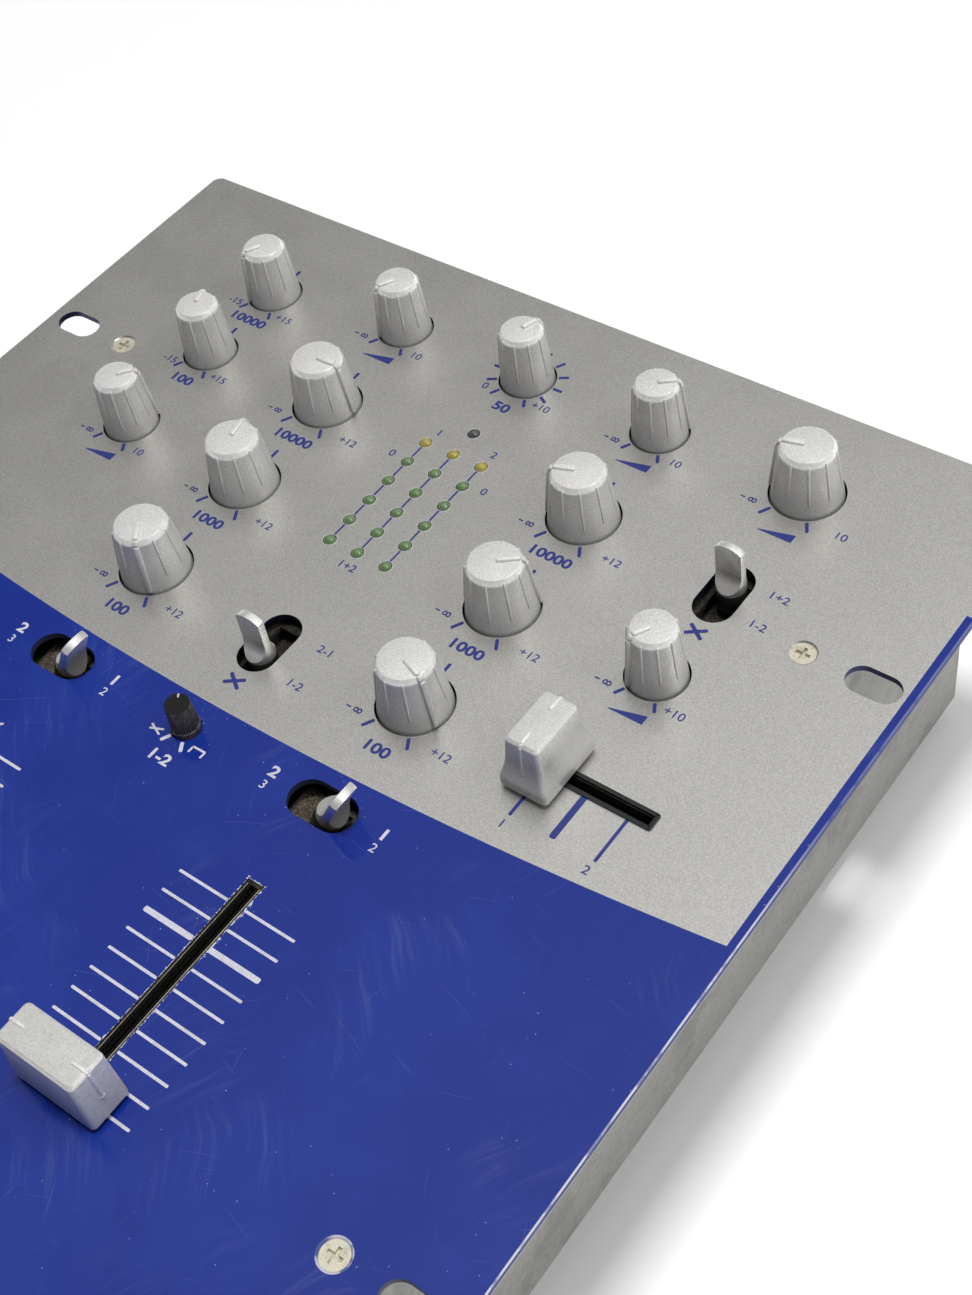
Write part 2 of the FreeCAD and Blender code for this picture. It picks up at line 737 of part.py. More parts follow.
def make_feet():
    hole = "screw_shank_radius + screw_clearance"
    foot = new_body("rubber_foot")
    revolve(foot, "section", [
        (hole, "foot_recess_depth"), ("foot_recess_radius", "foot_recess_depth"), ("foot_recess_radius", "0"),
        ("foot_radius - foot_taper", "0"), ("foot_radius", "foot_height"), (hole, "foot_height")])
    group("rubber_feet", [copy(foot, x, y) for x, y in foot_places()])
    screw = new_body("foot_screw")
    revolve(screw, "section", [
        ("0", "-foot_screw_head_height"), ("foot_screw_head_radius", "-foot_screw_head_height"),
        ("foot_screw_head_radius", "0"), ("screw_shank_radius", "0"),
        ("screw_shank_radius", "foot_height - foot_recess_depth + tray_gauge + foot_screw_grip"),
        ("0", "foot_height - foot_recess_depth + tray_gauge + foot_screw_grip")])
    cross_recess(screw, "-foot_screw_head_height")
    group("foot_screws", [copy(screw, x, y, "foot_recess_depth") for x, y in foot_places()])


# Control board and what hangs it from the panel.
def standoff_places():
    middle = "(channel_x + outer_gap / 2)"
    rows = (f"{HALF_LONG} - 2 * standoff_inset", f"{SWITCH_Y} + standoff_inset / 2",
            f"{FADER_Y} - standoff_inset / 2", f"{CROSS_Y} - standoff_inset / 4")
    return [(f"{right}{middle}", y) for y in rows for right in SIGNS]


def make_control_board():
    body = new_body("control_board")
    outline = draw(body, "outline", "XY_Plane")
    half_x, half_y = f"({TRAY_X} - board_margin)", f"({TRAY_Y} - board_end)"
    notch_x = f"({TRAY_X} - tab_reach - board_notch)"
    low = "(rack_slot_pitch / 2 - tab_length / 2 - board_notch)"
    high = "(rack_slot_pitch / 2 + tab_length / 2 + board_notch)"
    right_side = [(half_x, f"-{half_y}"), (half_x, f"-{high}"), (notch_x, f"-{high}"), (notch_x, f"-{low}"),
                  (half_x, f"-{low}"), (half_x, low), (notch_x, low), (notch_x, high), (half_x, high),
                  (half_x, half_y)]
    left_side = [(f"-{x}", y) for x, y in reversed(right_side)]
    polygon(outline, right_side + left_side)
    pad(body, outline, "board_gauge")
    holes = draw(body, "holes", "XY_Plane")
    for x, y in standoff_places():
        circle(holes, "board_screw_radius + screw_clearance", x, y)
    pocket(body, holes)
    node(place(body, z=f"{BOARD} - board_gauge"), "control_board")

    pillar = new_body("standoff")
    revolve(pillar, "section", [
        ("board_screw_radius + screw_clearance", "0"), ("standoff_radius", "0"),
        ("standoff_radius", "board_drop"), ("0", "board_drop"), ("0", "board_screw_bite + screw_clearance"),
        ("board_screw_radius + screw_clearance", "board_screw_bite + screw_clearance")])
    group("board_standoffs", [copy(pillar, x, y, BOARD) for x, y in standoff_places()])
    screw = new_body("board_screw")
    revolve(screw, "section", [
        ("0", "-board_screw_head_height"), ("board_screw_head_radius", "-board_screw_head_height"),
        ("board_screw_head_radius", "0"), ("board_screw_radius", "0"),
        ("board_screw_radius", "board_gauge + board_screw_bite"), ("0", "board_gauge + board_screw_bite")])
    group("board_screws", [copy(screw, x, y, f"{BOARD} - board_gauge") for x, y in standoff_places()])


# Rotary controls.
def pot_case(name, length, width, height, neck, shaft):
    case = block(f"{name}_case", length, width, height)
    collar = rod(f"{name}_neck", neck, f"{height} + pot_neck_height")
    bore = rod(f"{name}_bore", f"{shaft} + shaft_gap", f"2 * ({height} + pot_neck_height)",
               z="pot_neck_height")
    return cut(name, fuse(f"{name}_shell", case, collar), bore)


def make_pots():
    pot = pot_case("pot", "pot_length", "pot_width", "pot_height", "pot_neck_radius", "shaft_radius")
    slope = pot_case("slope_pot", "slope_pot_width", "slope_pot_width", "slope_pot_height",
                     "slope_neck_radius", "slope_shaft_radius")
    cases = [copy(pot, x, y, BOARD) for _, _, x, y in KNOBS]
    group("pot_bodies", cases + [copy(slope, "0", SWITCH_Y, BOARD)])


def knob_body(name, kind):
    """A hollow tapered knob with a bright bevelled rim, thin ribs and a raised pointer."""
    base, rim, top = f"{kind}_base_radius", f"{kind}_rim_radius", f"{kind}_top_radius"
    high = f"({kind}_height + knob_sink)"
    rim_z = f"({high} - knob_chamfer)"
    slope = f"(({base} - {rim}) / {rim_z})"
    cavity, hub = f"{kind}_cavity", f"{kind}_hub_radius"
    bore = "(shaft_radius + shaft_gap)"
    body = new_body(name)
    turned = revolve(body, "section", [
        (bore, "knob_sink"), (hub, "knob_sink"), (hub, cavity),
        (f"{base} - knob_wall - {slope} * {cavity}", cavity), (f"{base} - knob_wall", "0"), (base, "0"),
        (rim, rim_z), (top, high), ("0", high), ("0", f"{high} - knob_roof"),
        (bore, f"{high} - knob_roof")])
    axis = turned.Profile[0]

    rib = draw(body, "rib", "XZ_Plane")
    polygon(rib, [
        (f"{base} - knob_wall / 2 - {slope} * rib_foot", "rib_foot"),
        (f"{base} - {slope} * rib_foot", "rib_foot"),
        (f"{rim} + rib_rise", f"{rim_z} - rib_rise"), (f"{rim} + rib_rise / 2", rim_z),
        (f"{rim} - knob_wall / 2", rim_z)])
    around(body, pad(body, rib, "rib_width", True), axis, RIB_COUNT)

    pointer = draw(body, "pointer", "XZ_Plane")
    polygon(pointer, [
        ("pointer_start", f"{high} - knob_chamfer"), ("pointer_start", f"{high} + pointer_rise"),
        (f"{top} + pointer_rise / 2", f"{high} + pointer_rise"), (f"{rim} + pointer_rise", rim_z),
        (f"{base} - {slope} * pointer_foot + pointer_rise / 4", "pointer_foot"),
        (f"{base} - {slope} * pointer_foot - knob_wall / 2", "pointer_foot"),
        (f"{rim} - knob_wall / 2", f"{high} - knob_chamfer")])
    body.Tip = pad(body, pointer, "pointer_width", True)
    return body


def slope_knob_body(name):
    """A small fluted push-on knob with a plain collar at its foot."""
    high = "(slope_height + knob_sink)"
    bore = "(slope_shaft_radius + shaft_gap)"
    body = new_body(name)
    turned = revolve(body, "section", [
        (bore, "0"), ("slope_base_radius", "0"), ("slope_base_radius", "slope_collar + knob_sink"),
        ("slope_top_radius + flute_radius", "slope_collar + knob_sink + flute_radius"),
        ("slope_top_radius", f"{high} - flute_radius"), ("slope_top_radius - flute_radius", high),
        ("0", high), ("0", f"{high} - knob_roof"), (bore, f"{high} - knob_roof")])
    axis = turned.Profile[0]
    flute = draw(body, "flute", "XY_Plane", "slope_collar + knob_sink + 2 * flute_radius")
    circle(flute, "flute_radius", "slope_top_radius + flute_radius / 2")
    around(body, pocket(body, flute, symmetric=False), axis, FLUTE_COUNT)
    pointer = draw(body, "pointer", "XZ_Plane")
    polygon(pointer, [
        ("slope_top_radius / 3", f"{high} - flute_radius"),
        ("slope_top_radius / 3", f"{high} + flute_radius"),
        ("slope_top_radius - flute_radius", f"{high} + flute_radius"),
        ("slope_top_radius - flute_radius", f"{high} - flute_radius")])
    body.Tip = pad(body, pointer, "2 * flute_radius", True)
    return body


def make_knob(name, body, shaft_radius, high, x, y):
    """A knob on its shaft, turned to where it was left."""
    place(body, x, y, f"{TOP} - knob_sink", Rotation(Vector(0, 0, 1), 1))
    body.setExpression("Placement.Rotation.Angle", rule(f"90 - {name}_turn"))
    foot = f"{BOARD} + pot_neck_height + shaft_gap"
    length = f"{TOP} + {high} - knob_roof - shaft_gap - ({foot})"
    shaft = rod(f"{name}_shaft", shaft_radius, length, x, y, foot)
    group(f"{name}_knob", [body, shaft])


def make_knobs():
    for name, kind, x, y in KNOBS:
        make_knob(name, knob_body(f"{name}_cap", kind), "shaft_radius", f"{kind}_height", x, y)
    make_knob("slope", slope_knob_body("slope_cap"), "slope_shaft_radius", "slope_height", "0", SWITCH_Y)


# Paddle switches.
def lever_body(name):
    """A round domed lever, thrown along its own X axis, that thins through hollow flanks to a paddle."""
    body = new_body(name)
    domed_stem(body, "lever_radius", "lever_length", "lever_dome")
    flanks = draw(body, "flanks", "XZ_Plane")
    sides = draw(body, "sides", "XZ_Plane")
    for sign in SIGNS:
        circle(flanks, "lever_flare", f"{sign}(lever_blade / 2 + lever_flare)", "lever_flare_start")
        rectangle(sides, "2 * lever_radius", "lever_length", f"{sign}(lever_blade / 2 + lever_radius)",
                  "lever_flare_start + lever_length / 2")
    pocket(body, flanks)
    pocket(body, sides)
    return body


def make_toggles():
    for name, right in zip(("ch1", "ch2"), SIGNS):
        lever = lever_body(f"{name}_input_toggle")
        ball = lever.newObject("PartDesign::AdditiveSphere", f"{name}_toggle_ball")
        bind(ball, Radius="lever_radius")
        axle = draw(lever, "axle", "XZ_Plane")
        circle(axle, "toggle_pin_radius")
        lever.Tip = pad(lever, axle, "2 * toggle_pin_reach", True)
        place(lever, f"{right}channel_x", SWITCH_Y, f"{TOP} - lever_depth", Rotation(Vector(0, 1, 0), 1))
        lever.setExpression("Placement.Rotation.Angle", rule("toggle_tilt"))
        node(lever, f"{name}_input_toggle")

    # The case stands on the board, and its two cheeks hold the lever's axle.
    pivot = "(board_drop + panel_gauge - lever_depth)"
    inside = "(lever_radius + moving_gap)"
    width = f"2 * ({inside} + toggle_cheek)"
    case = block("toggle_case_block", "toggle_case_length", width, f"{pivot} - toggle_pin_radius")
    cheeks = rod("toggle_cheeks", "toggle_pin_radius + toggle_cheek", width, y=f"{width} / 2", z=pivot,
                 turned=FORWARD)
    trough = rod("toggle_trough", f"{inside}", f"2 * {inside}", y=inside, z=pivot, turned=FORWARD)
    mouth = block("toggle_mouth", f"2 * {inside}", f"2 * {inside}", "lever_length", z=pivot)
    eye = rod("toggle_eye", "toggle_pin_radius + pin_gap", f"2 * {width}", y=width, z=pivot, turned=FORWARD)
    toggle_case = cut("toggle_case", fuse("toggle_case_shell", case, cheeks), trough, mouth, eye)
    group("toggle_bodies", [copy(toggle_case, f"{right}channel_x", SWITCH_Y, BOARD) for right in SIGNS])


def make_mode_switches():
    """Two levers that slide along Y between stops, each held down by the lips of its case."""
    pivot = "(board_drop + panel_gauge - lever_depth)"
    switches = (("crossfade_mode_lever", "0", CROSS_SWITCH_Y, "-"),
                ("cue_mode_lever", OUTER_X, CUE_SWITCH_Y, "+"))
    for name, x, y, end in switches:
        lever = lever_body(name)
        foot = draw(lever, "foot", "XY_Plane")
        rectangle(foot, "mode_foot_length", "mode_foot_width")
        base = pad(lever, foot, "mode_foot_height")
        base.Reversed = True
        lever.Tip = base
        place(lever, x, f"{y} {end} mode_throw / 2", f"{TOP} - lever_depth", QUARTER)
        node(lever, name)
    room = "(mode_foot_length + mode_throw + 2 * moving_gap)"
    wide = "(mode_foot_width + 2 * moving_gap)"
    top = f"({pivot} + moving_gap + mode_lip)"
    case = block("mode_case_block", f"{wide} + 2 * mode_case_wall", f"{room} + 2 * mode_case_wall", top)
    channel = block("mode_channel", wide, room, "mode_foot_height + 2 * moving_gap",
                    z=f"{pivot} - mode_foot_height - moving_gap")
    neck_width = "2 * (lever_radius + moving_gap)"
    neck = block("mode_neck", neck_width, f"mode_throw + {neck_width}", top, z=pivot)
    mode_case = cut("mode_case", case, channel, neck)
    group("mode_switch_bodies", [copy(mode_case, x, y, BOARD) for _, x, y, _ in switches])


# Faders.
def cap_sections(kind):
    """Height, length and width of a cap's cross sections, from its foot to its top."""
    base = (f"{kind}_cap_base_length", f"{kind}_cap_base_width")
    top = (f"{kind}_cap_top_length", f"{kind}_cap_top_width")
    sections = [("0", *base)]
    if kind == "cue":
        waist = [f"({low} + ({high} - {low}) * 0.3)" for high, low in zip(base, top)]
        sections += [("cue_cap_rim", *base), ("cue_cap_waist", *waist)]
    bevelled = [f"({size} - 2 * cap_bevel)" for size in top]
    return sections + [("cap_height - cap_bevel", *top), ("cap_height", *bevelled)]


def sighting_ridges(body, kind):
    """A fine ridge at each end of a cap that runs along its top, over the edge and down the end face."""
    below, shoulder = cap_sections(kind)[-3:-1]
    end = f"({shoulder[1]} / 2)"
    flare = f"(({below[1]} - {shoulder[1]}) / 2 / ({shoulder[0]} - {below[0]}))"
    foot = f"({end} + {flare} * ({shoulder[0]} - cap_ridge_foot))"
    drawing = draw(body, "ridges", "YZ_Plane")
    for sign in SIGNS:
        polygon(drawing, [(f"{sign}({y})", z) for y, z in (
            (f"{end} - cap_ridge_length", "cap_height - cap_bevel"),
            (f"{end} - cap_ridge_length", "cap_height + cap_ridge_rise"),
            (f"{end} - cap_bevel", "cap_height + cap_ridge_rise"),
            (f"{end} + cap_ridge_rise", shoulder[0]),
            (f"{foot} + cap_ridge_rise", "cap_ridge_foot"),
            (f"{foot} - cap_bevel", "cap_ridge_foot"),
            (f"{end} - 2 * cap_bevel", "cap_height - 2 * cap_bevel"))])
    return pad(body, drawing, "cap_ridge_width", True)


def cap_body(name, kind):
    """A moulded cap, long across its travel, with a sighting ridge at each end."""
    body = new_body(name)
    drawings = []
    for number, (z, length, width) in enumerate(cap_sections(kind)):
        drawing = draw(body, f"level{number}", "XY_Plane", z)
        rounded_rectangle(drawing, width, length, "cap_corner")
        drawings.append(drawing)
    loft = body.newObject("PartDesign::AdditiveLoft", f"{name}_loft")
    loft.Profile = drawings[0]
    loft.Sections = drawings[1:]
    loft.Ruled = True
    sighting_ridges(body, kind)
    socket = draw(body, "socket", "XY_Plane")
    rectangle(socket, "tang_length + 2 * shaft_gap", "tang_thickness + 2 * shaft_gap")
    pocket(body, socket, "2 * cap_socket_depth")
    return body


def fader_frame(kind, travel):
    """A folded steel channel, open below, with a slot along its top."""
    outer = block(f"{kind}_frame_shell", f"{travel} + carriage_length + 2 * fader_frame_end",
                  "fader_frame_width", "fader_frame_height")
    high = "(fader_frame_height - fader_frame_gauge)"
    inner = block(f"{kind}_frame_room", f"{travel} + carriage_length + 2 * moving_gap",
                  "fader_frame_width - 2 * fader_frame_gauge", f"2 * {high}", z=f"-{high}")
    slot = block(f"{kind}_frame_slot", f"{travel} + tang_length + 2 * moving_gap",
                 "tang_thickness + 2 * moving_gap", "2 * fader_frame_height")
    return cut(f"{kind}_frame", outer, inner, slot)


def fader_bezel(kind, travel):
    """A black liner: a rim that fills the panel's slot, on a flange below the panel."""
    length, width = f"({travel} + 2 * {kind}_slot_end)", f"{kind}_slot_width"
    rim = block(f"{kind}_bezel_rim", f"{length} - 2 * shaft_gap", f"{width} - 2 * shaft_gap",
                "panel_gauge - bezel_sink")
    flange = block(f"{kind}_bezel_flange", f"{length} + 2 * bezel_flange", f"{width} + 2 * bezel_flange",
                   "bezel_flange_gauge", z="-bezel_flange_gauge")
    slot = block(f"{kind}_bezel_slot", f"{length} - 2 * bezel_rim", "bezel_slot_width",
                 "4 * (panel_gauge + bezel_flange_gauge)", z="-2 * bezel_flange_gauge")
    return cut(f"{kind}_bezel", fuse(f"{kind}_bezel_shell", rim, flange), slot)


def fader_carriage(name):
    """The wiper's carriage, with the tang that comes up through the slot into the cap."""
    wide = "(fader_frame_width - 2 * fader_frame_gauge - 2 * moving_gap)"
    high = "(fader_frame_height - fader_frame_gauge - 2 * moving_gap)"
    slider = block(f"{name}_slider", "carriage_length", wide, high, z="moving_gap")
    reach = "(board_drop + panel_gauge + cap_float + cap_socket_depth - shaft_gap - moving_gap)"
    tang = block(f"{name}_tang", "tang_length", "tang_thickness", reach, z="moving_gap")
    return fuse(name, slider, tang)


def make_faders():
    frames, bezels = [], []
    masters = {kind: (fader_frame(kind, f"{kind}_travel"), fader_bezel(kind, f"{kind}_travel"))
               for kind in ("line", "cue")}
    for name, kind, x, y, along, shift in FADERS:
        turned = QUARTER if along == "y" else UPRIGHT
        frame, bezel = masters[kind]
        frames.append(copy(frame, x, y, BOARD, turned))
        bezels.append(copy(bezel, x, y, UNDER, turned))
        spot = (x, f"{y} {shift}") if along == "y" else (f"{x} {shift}", y)
        node(place(fader_carriage(f"{name}_carriage"), *spot, BOARD, turned), f"{name}_carriage")
        node(place(cap_body(f"{name}_cap", kind), *spot, f"{TOP} + cap_float", turned), f"{name}_cap")
    group("fader_frames", frames)
    group("fader_bezels", bezels)


# Level meter lamps on their spacers.
def make_leds():
    foot = f"({TOP} + led_stand - led_length)"
    flange = rod("led_flange", "led_flange_radius", "led_flange_height")
    barrel = rod("led_barrel", "led_radius", "led_length - led_radius")
    dome = doc.addObject("Part::Sphere", "led_dome")
    bind(dome, Radius="led_radius")
    place(dome, z="led_length - led_radius")
    lamp = fuse("led_lamp", flange, barrel, dome)
    places = led_places()
    group("yellow_leds", [copy(lamp, x, y, foot) for x, y in places[:LED_COLUMNS]])
    group("green_leds", [copy(lamp, x, y, foot) for x, y in places[LED_COLUMNS:]])
    group("power_led", [copy(lamp, *power_led_place(), foot)])
    height = "(board_drop + panel_gauge + led_stand - led_length)"
    spacer = cut("led_spacer", rod("led_spacer_tube", "led_flange_radius", height),
                 rod("led_spacer_bore", "led_radius / 2", f"2 * {height}", z=f"-{height} / 2"))
    group("led_spacers", [copy(spacer, x, y, BOARD) for x, y in places + [power_led_place()]])


# Rear and front sockets.
def make_rear_board():
    low = "(-phono_group - phono_group_shift - phono_column / 2 - phono_case_width / 2 - socket_gap)"
    high = f"({POWER_X} + power_case_width / 2 + socket_gap)"
    y = f"{REAR_IN} - socket_depth - board_gauge / 2"
    board = block("rear_jack_board", f"{high} - {low}", "board_gauge", "rear_board_height",
                  f"({high} + {low}) / 2", y, "foot_height + rear_board_low")
    node(board, "rear_jack_board")


def make_phono_sockets():
    reach = "(tray_gauge + phono_reach)"
    bore = "(phono_barrel_radius - phono_barrel_wall)"
    barrel = cut("phono_barrel", rod("phono_barrel_outside", "phono_barrel_radius", reach),
                 rod("phono_barrel_inside", bore, f"2 * {reach}", z=f"-{reach} / 2"))
    group("phono_barrels", [copy(barrel, x, REAR_IN, z, BACKWARD) for x, z in phono_places()])
    case = block("phono_case_block", "phono_case_width", "phono_case_height", "socket_depth",
                 z="-socket_depth")
    noses, pins = [], []
    for number, sign in enumerate(SIGNS):
        y = f"{sign}phono_pitch / 2"
        noses.append(rod(f"phono_nose{number}", f"{bore} - shaft_gap", f"{reach} - socket_gap", y=y))
        pins.append(rod(f"phono_pin_hole{number}", "phono_pin_radius", f"2 * {reach}", y=y))
    housing = cut("phono_housing", fuse("phono_housing_shell", case, *noses), *pins)
    group("phono_housings", [copy(housing, x, REAR_IN, SOCKET_Z, BACKWARD) for x in phono_columns()])


def make_rear_sliders():
    """Two small slide switches behind the rear wall, with stubs that show through its windows."""
    foot_width = "(rear_slider_width + 2 * rear_slider_foot)"
    foot_height = "(rear_slider_height + 2 * rear_slider_foot)"
    room = f"({foot_width} + rear_slider_throw + 2 * moving_gap)"
    high = f"({foot_height} + 2 * moving_gap)"
    case = block("rear_switch_block", f"{room} + 2 * rear_slider_case_wall",
                 f"{high} + 2 * rear_slider_case_wall", "socket_depth", z="-socket_depth")
    channel = block("rear_switch_room", room, high, "2 * (rear_slider_foot + 2 * moving_gap)",
                    z="-rear_slider_foot - 2 * moving_gap")
    frame = cut("rear_switch_frame", case, channel)
    group("rear_switch_frames", [copy(frame, x, REAR_IN, SOCKET_Z, BACKWARD) for x in rear_slider_places()])
    for name, x in zip(("ch1", "ch2"), rear_slider_places()):
        foot = block(f"{name}_slider_foot", foot_width, foot_height, "rear_slider_foot",
                     z="-rear_slider_foot - moving_gap")
        stub = block(f"{name}_slider_stub", "rear_slider_width", "rear_slider_height",
                     "tray_gauge + rear_slider_reach + moving_gap", z="-moving_gap")
        slider = fuse(f"{name}_rear_slider", foot, stub)
        place(slider, f"{x} - rear_slider_throw / 2", REAR_IN, SOCKET_Z, BACKWARD)
        node(slider, f"{name}_rear_slider")


def make_usb_socket():
    shell = block("usb_shell", "usb_width", "usb_height", "socket_depth + tray_gauge", z="-socket_depth")
    mouth = block("usb_mouth", "usb_width - 2 * usb_wall", "usb_height - 2 * usb_wall",
                  "socket_depth + tray_gauge", z="usb_wall - socket_depth")
    tongue = block("usb_tongue", "usb_tongue_width", "usb_tongue_height", "socket_depth", z="-socket_depth")
    socket = fuse("usb_socket", cut("usb_case", shell, mouth), tongue)
    node(place(socket, USB_X, REAR_IN, SOCKET_Z, BACKWARD), "usb_socket")


def make_power_inlet():
    case = block("power_case", "power_case_width", "power_case_height", "socket_depth", z="-socket_depth")
    nose = rod("power_nose", "power_hole_radius + power_pin_radius", "tray_gauge")
    hole = rod("power_hole", "power_hole_radius", "2 * socket_depth", z="power_pin_radius - socket_depth")
    pin = rod("power_pin", "power_pin_radius", "socket_depth", z="-socket_depth")
    socket = fuse("power_socket", cut("power_shell", fuse("power_body", case, nose), hole), pin)
    node(place(socket, POWER_X, REAR_IN, SOCKET_Z, BACKWARD), "power_socket")


def make_power_switch():
    """A snap-in rocker switch; its rocker tips about an axle along X, just inside the wall."""
    body = new_body("power_rocker")
    side = draw(body, "side", "YZ_Plane")
    end = "(rocker_height / 2)"
    out = "(2 * rocker_rise)"
    polygon(side, [("-rocker_rise", "-rocker_rise"), ("rocker_rise", f"-{end}"), (out, f"-{end}"),
                   (f"{out} - rocker_dip", "0"), (out, end), ("rocker_rise", end),
                   ("-rocker_rise", "rocker_rise")])
    pad(body, side, "rocker_width", True)
    axle = draw(body, "axle", "YZ_Plane")
    circle(axle, "rocker_pin_radius")
    body.Tip = pad(body, axle, "rocker_width + 2 * (moving_gap + rocker_frame_wall)", True)
    place(body, ROCKER_X, f"{TRAY_Y} - rocker_rise", SOCKET_Z, Rotation(Vector(1, 0, 0), 1))
    body.setExpression("Placement.Rotation.Angle", rule("rocker_tilt"))
    node(body, "power_rocker")

    wide = "(rocker_width + 2 * moving_gap)"
    high = "(rocker_height + 2 * rocker_room)"
    case = block("rocker_case", f"{wide} + 2 * rocker_frame_wall", f"{high} + 2 * rocker_frame_wall",
                 "rocker_frame_depth", z="-rocker_frame_depth")
    lip = block("rocker_lip", f"{wide} + 2 * (rocker_frame_wall + rocker_frame_lip)",
                f"{high} + 2 * (rocker_frame_wall + rocker_frame_lip)", "rocker_frame_lip")
    room = block("rocker_space", wide, high, "2 * rocker_frame_depth",
                 z="rocker_frame_wall - rocker_frame_depth")
    eye = rod("rocker_eye", "rocker_pin_radius + pin_gap", f"2 * {wide}", x=f"-{wide}", z="-rocker_rise",
              turned=SIDEWAYS)
    frame = cut("power_switch_frame", fuse("rocker_shell", case, lip), room, eye)
    node(place(frame, ROCKER_X, TRAY_Y, SOCKET_Z, BACKWARD), "power_switch_frame")


def make_ground_screw():
    body = new_body("ground_screw")
    revolve(body, "section", [
        ("0", "-ground_length"), ("ground_radius", "-ground_length"), ("ground_radius", "0"),
        ("ground_head_radius", "0"), ("ground_head_radius", "ground_head_height"),
        ("0", "ground_head_height")])
    node(place(body, GROUND_X, TRAY_Y, SOCKET_Z, BACKWARD), "ground_screw")


def make_jacks():
    """Quarter-inch sockets held to the front wall by hexagon nuts."""
    bush_length = "(tray_gauge + jack_bush_reach)"
    for label, x in JACKS:
        case = block(f"{label}_case", "jack_case", "jack_case", "jack_case_depth", z="-jack_case_depth")
        bush = rod(f"{label}_bush", "jack_bush_radius", bush_length)
        bore = rod(f"{label}_bore", "jack_radius", "2 * jack_depth", z=f"{bush_length} - jack_depth")
        socket = cut(label, fuse(f"{label}_shell", case, bush), bore)
        node(place(socket, x, f"-{REAR_IN}", SOCKET_Z, FORWARD), label)
    prism = doc.addObject("Part::Prism", "jack_nut_prism")
    prism.Polygon = 6
    bind(prism, Circumradius="jack_nut_across", Height="jack_nut_height")
    hole = rod("jack_nut_hole", "jack_bush_radius + shaft_gap", "4 * jack_nut_height", z="-jack_nut_height")
    nut = cut("jack_nut", prism, hole)
    group("socket_nuts", [copy(nut, x, f"-{TRAY_Y}", SOCKET_Z, FORWARD) for _, x in JACKS])


def make_ribbon():
    """A flat cable from a header below the control board, round one bend, to the rear board."""
    board_face = f"({REAR_IN} - socket_depth - board_gauge)"
    level = "(foot_height + socket_row)"
    hang = f"({BOARD} - board_gauge)"
    drop_y = f"({board_face} - header_height - 3 * ribbon_bend)"
    bend_z = f"({level} + ribbon_bend)"
    run_end = f"({board_face} - header_height)"
    run_start = f"({drop_y} + ribbon_bend)"
    lower = block("lower_header", "header_width", "header_height", "header_depth",
                  "0", f"{board_face} - header_height / 2", f"{level} - header_depth / 2")
    upper = block("upper_header", "header_width", "header_depth", "header_height",
                  "0", drop_y, f"{hang} - header_height")
    group("ribbon_headers", [lower, upper])
    drop = block("ribbon_drop", "ribbon_width", "ribbon_gauge", f"{hang} - header_height - {bend_z}",
                 "0", drop_y, bend_z)
    run = block("ribbon_run", "ribbon_width", f"{run_end} - {run_start}", "ribbon_gauge",
                "0", f"({run_end} + {run_start}) / 2", f"{level} - ribbon_gauge / 2")
    outside = rod("ribbon_bend_outside", "ribbon_bend + ribbon_gauge / 2", "ribbon_width",
                  "-ribbon_width / 2", run_start, bend_z, SIDEWAYS)
    inside = rod("ribbon_bend_inside", "ribbon_bend - ribbon_gauge / 2", "2 * ribbon_width",
                 "-ribbon_width", run_start, bend_z, SIDEWAYS)
    above = block("ribbon_bend_above", "2 * ribbon_width", "4 * ribbon_bend", "2 * ribbon_bend",
                  "0", run_start, bend_z)
    beyond = block("ribbon_bend_beyond", "2 * ribbon_width", "2 * ribbon_bend", "4 * ribbon_bend",
                   "0", f"{run_start} + ribbon_bend", f"{bend_z} - 2 * ribbon_bend")
    bend = cut("ribbon_quarter", outside, inside, above, beyond)
    node(fuse("ribbon_cable", drop, bend, run), "ribbon_cable")


def check_model():
    """Stops if anything failed to build, is not a sound solid, or a cut removed nothing."""
    for item in doc.Objects:
        if "Invalid" in item.State or "Error" in item.State:
            raise RuntimeError(f"{item.Name} failed: {item.State}")
        if item.TypeId in ("PartDesign::Pocket", "PartDesign::Hole"):
            if item.Shape.Volume > item.BaseFeature.Shape.Volume - 1e-6:
                raise RuntimeError(f"{item.Name} cuts nothing")
    for item in nodes:
        if item.Shape.isNull() or not item.Shape.isValid() or not item.Shape.Solids:
            raise RuntimeError(f"{item.Label} is not a sound solid")


make_top_panel()
make_chassis_tray()
make_panel_screws()
make_feet()
make_control_board()
make_pots()
make_knobs()
make_toggles()
make_mode_switches()
make_faders()
make_leds()
make_rear_board()
make_phono_sockets()
make_rear_sliders()
make_usb_socket()
make_power_inlet()
make_power_switch()
make_ground_screw()
make_jacks()
make_ribbon()
doc.recompute()
check_model()
os.makedirs("parts", exist_ok=True)
for item in nodes:
    item.Shape.exportStep(f"parts/{item.Label}.step")
print(len(nodes), "sub-parts written")
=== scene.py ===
# %% [markdown]
# # A disc jockey's mixer
# The mixer is a flat steel panel with rack ears, screwed to a folded steel tray. Its construction comes in
# first, as a fixed frame in metres, and everything made below is placed from that frame: a hinge gives the
# place of a knob, and a node's box gives the size of a cap. Working from the frame means that the looks
# follow the construction when it changes.

# %% Load the construction
import json
import math

import bpy
from mathutils import Matrix, Vector


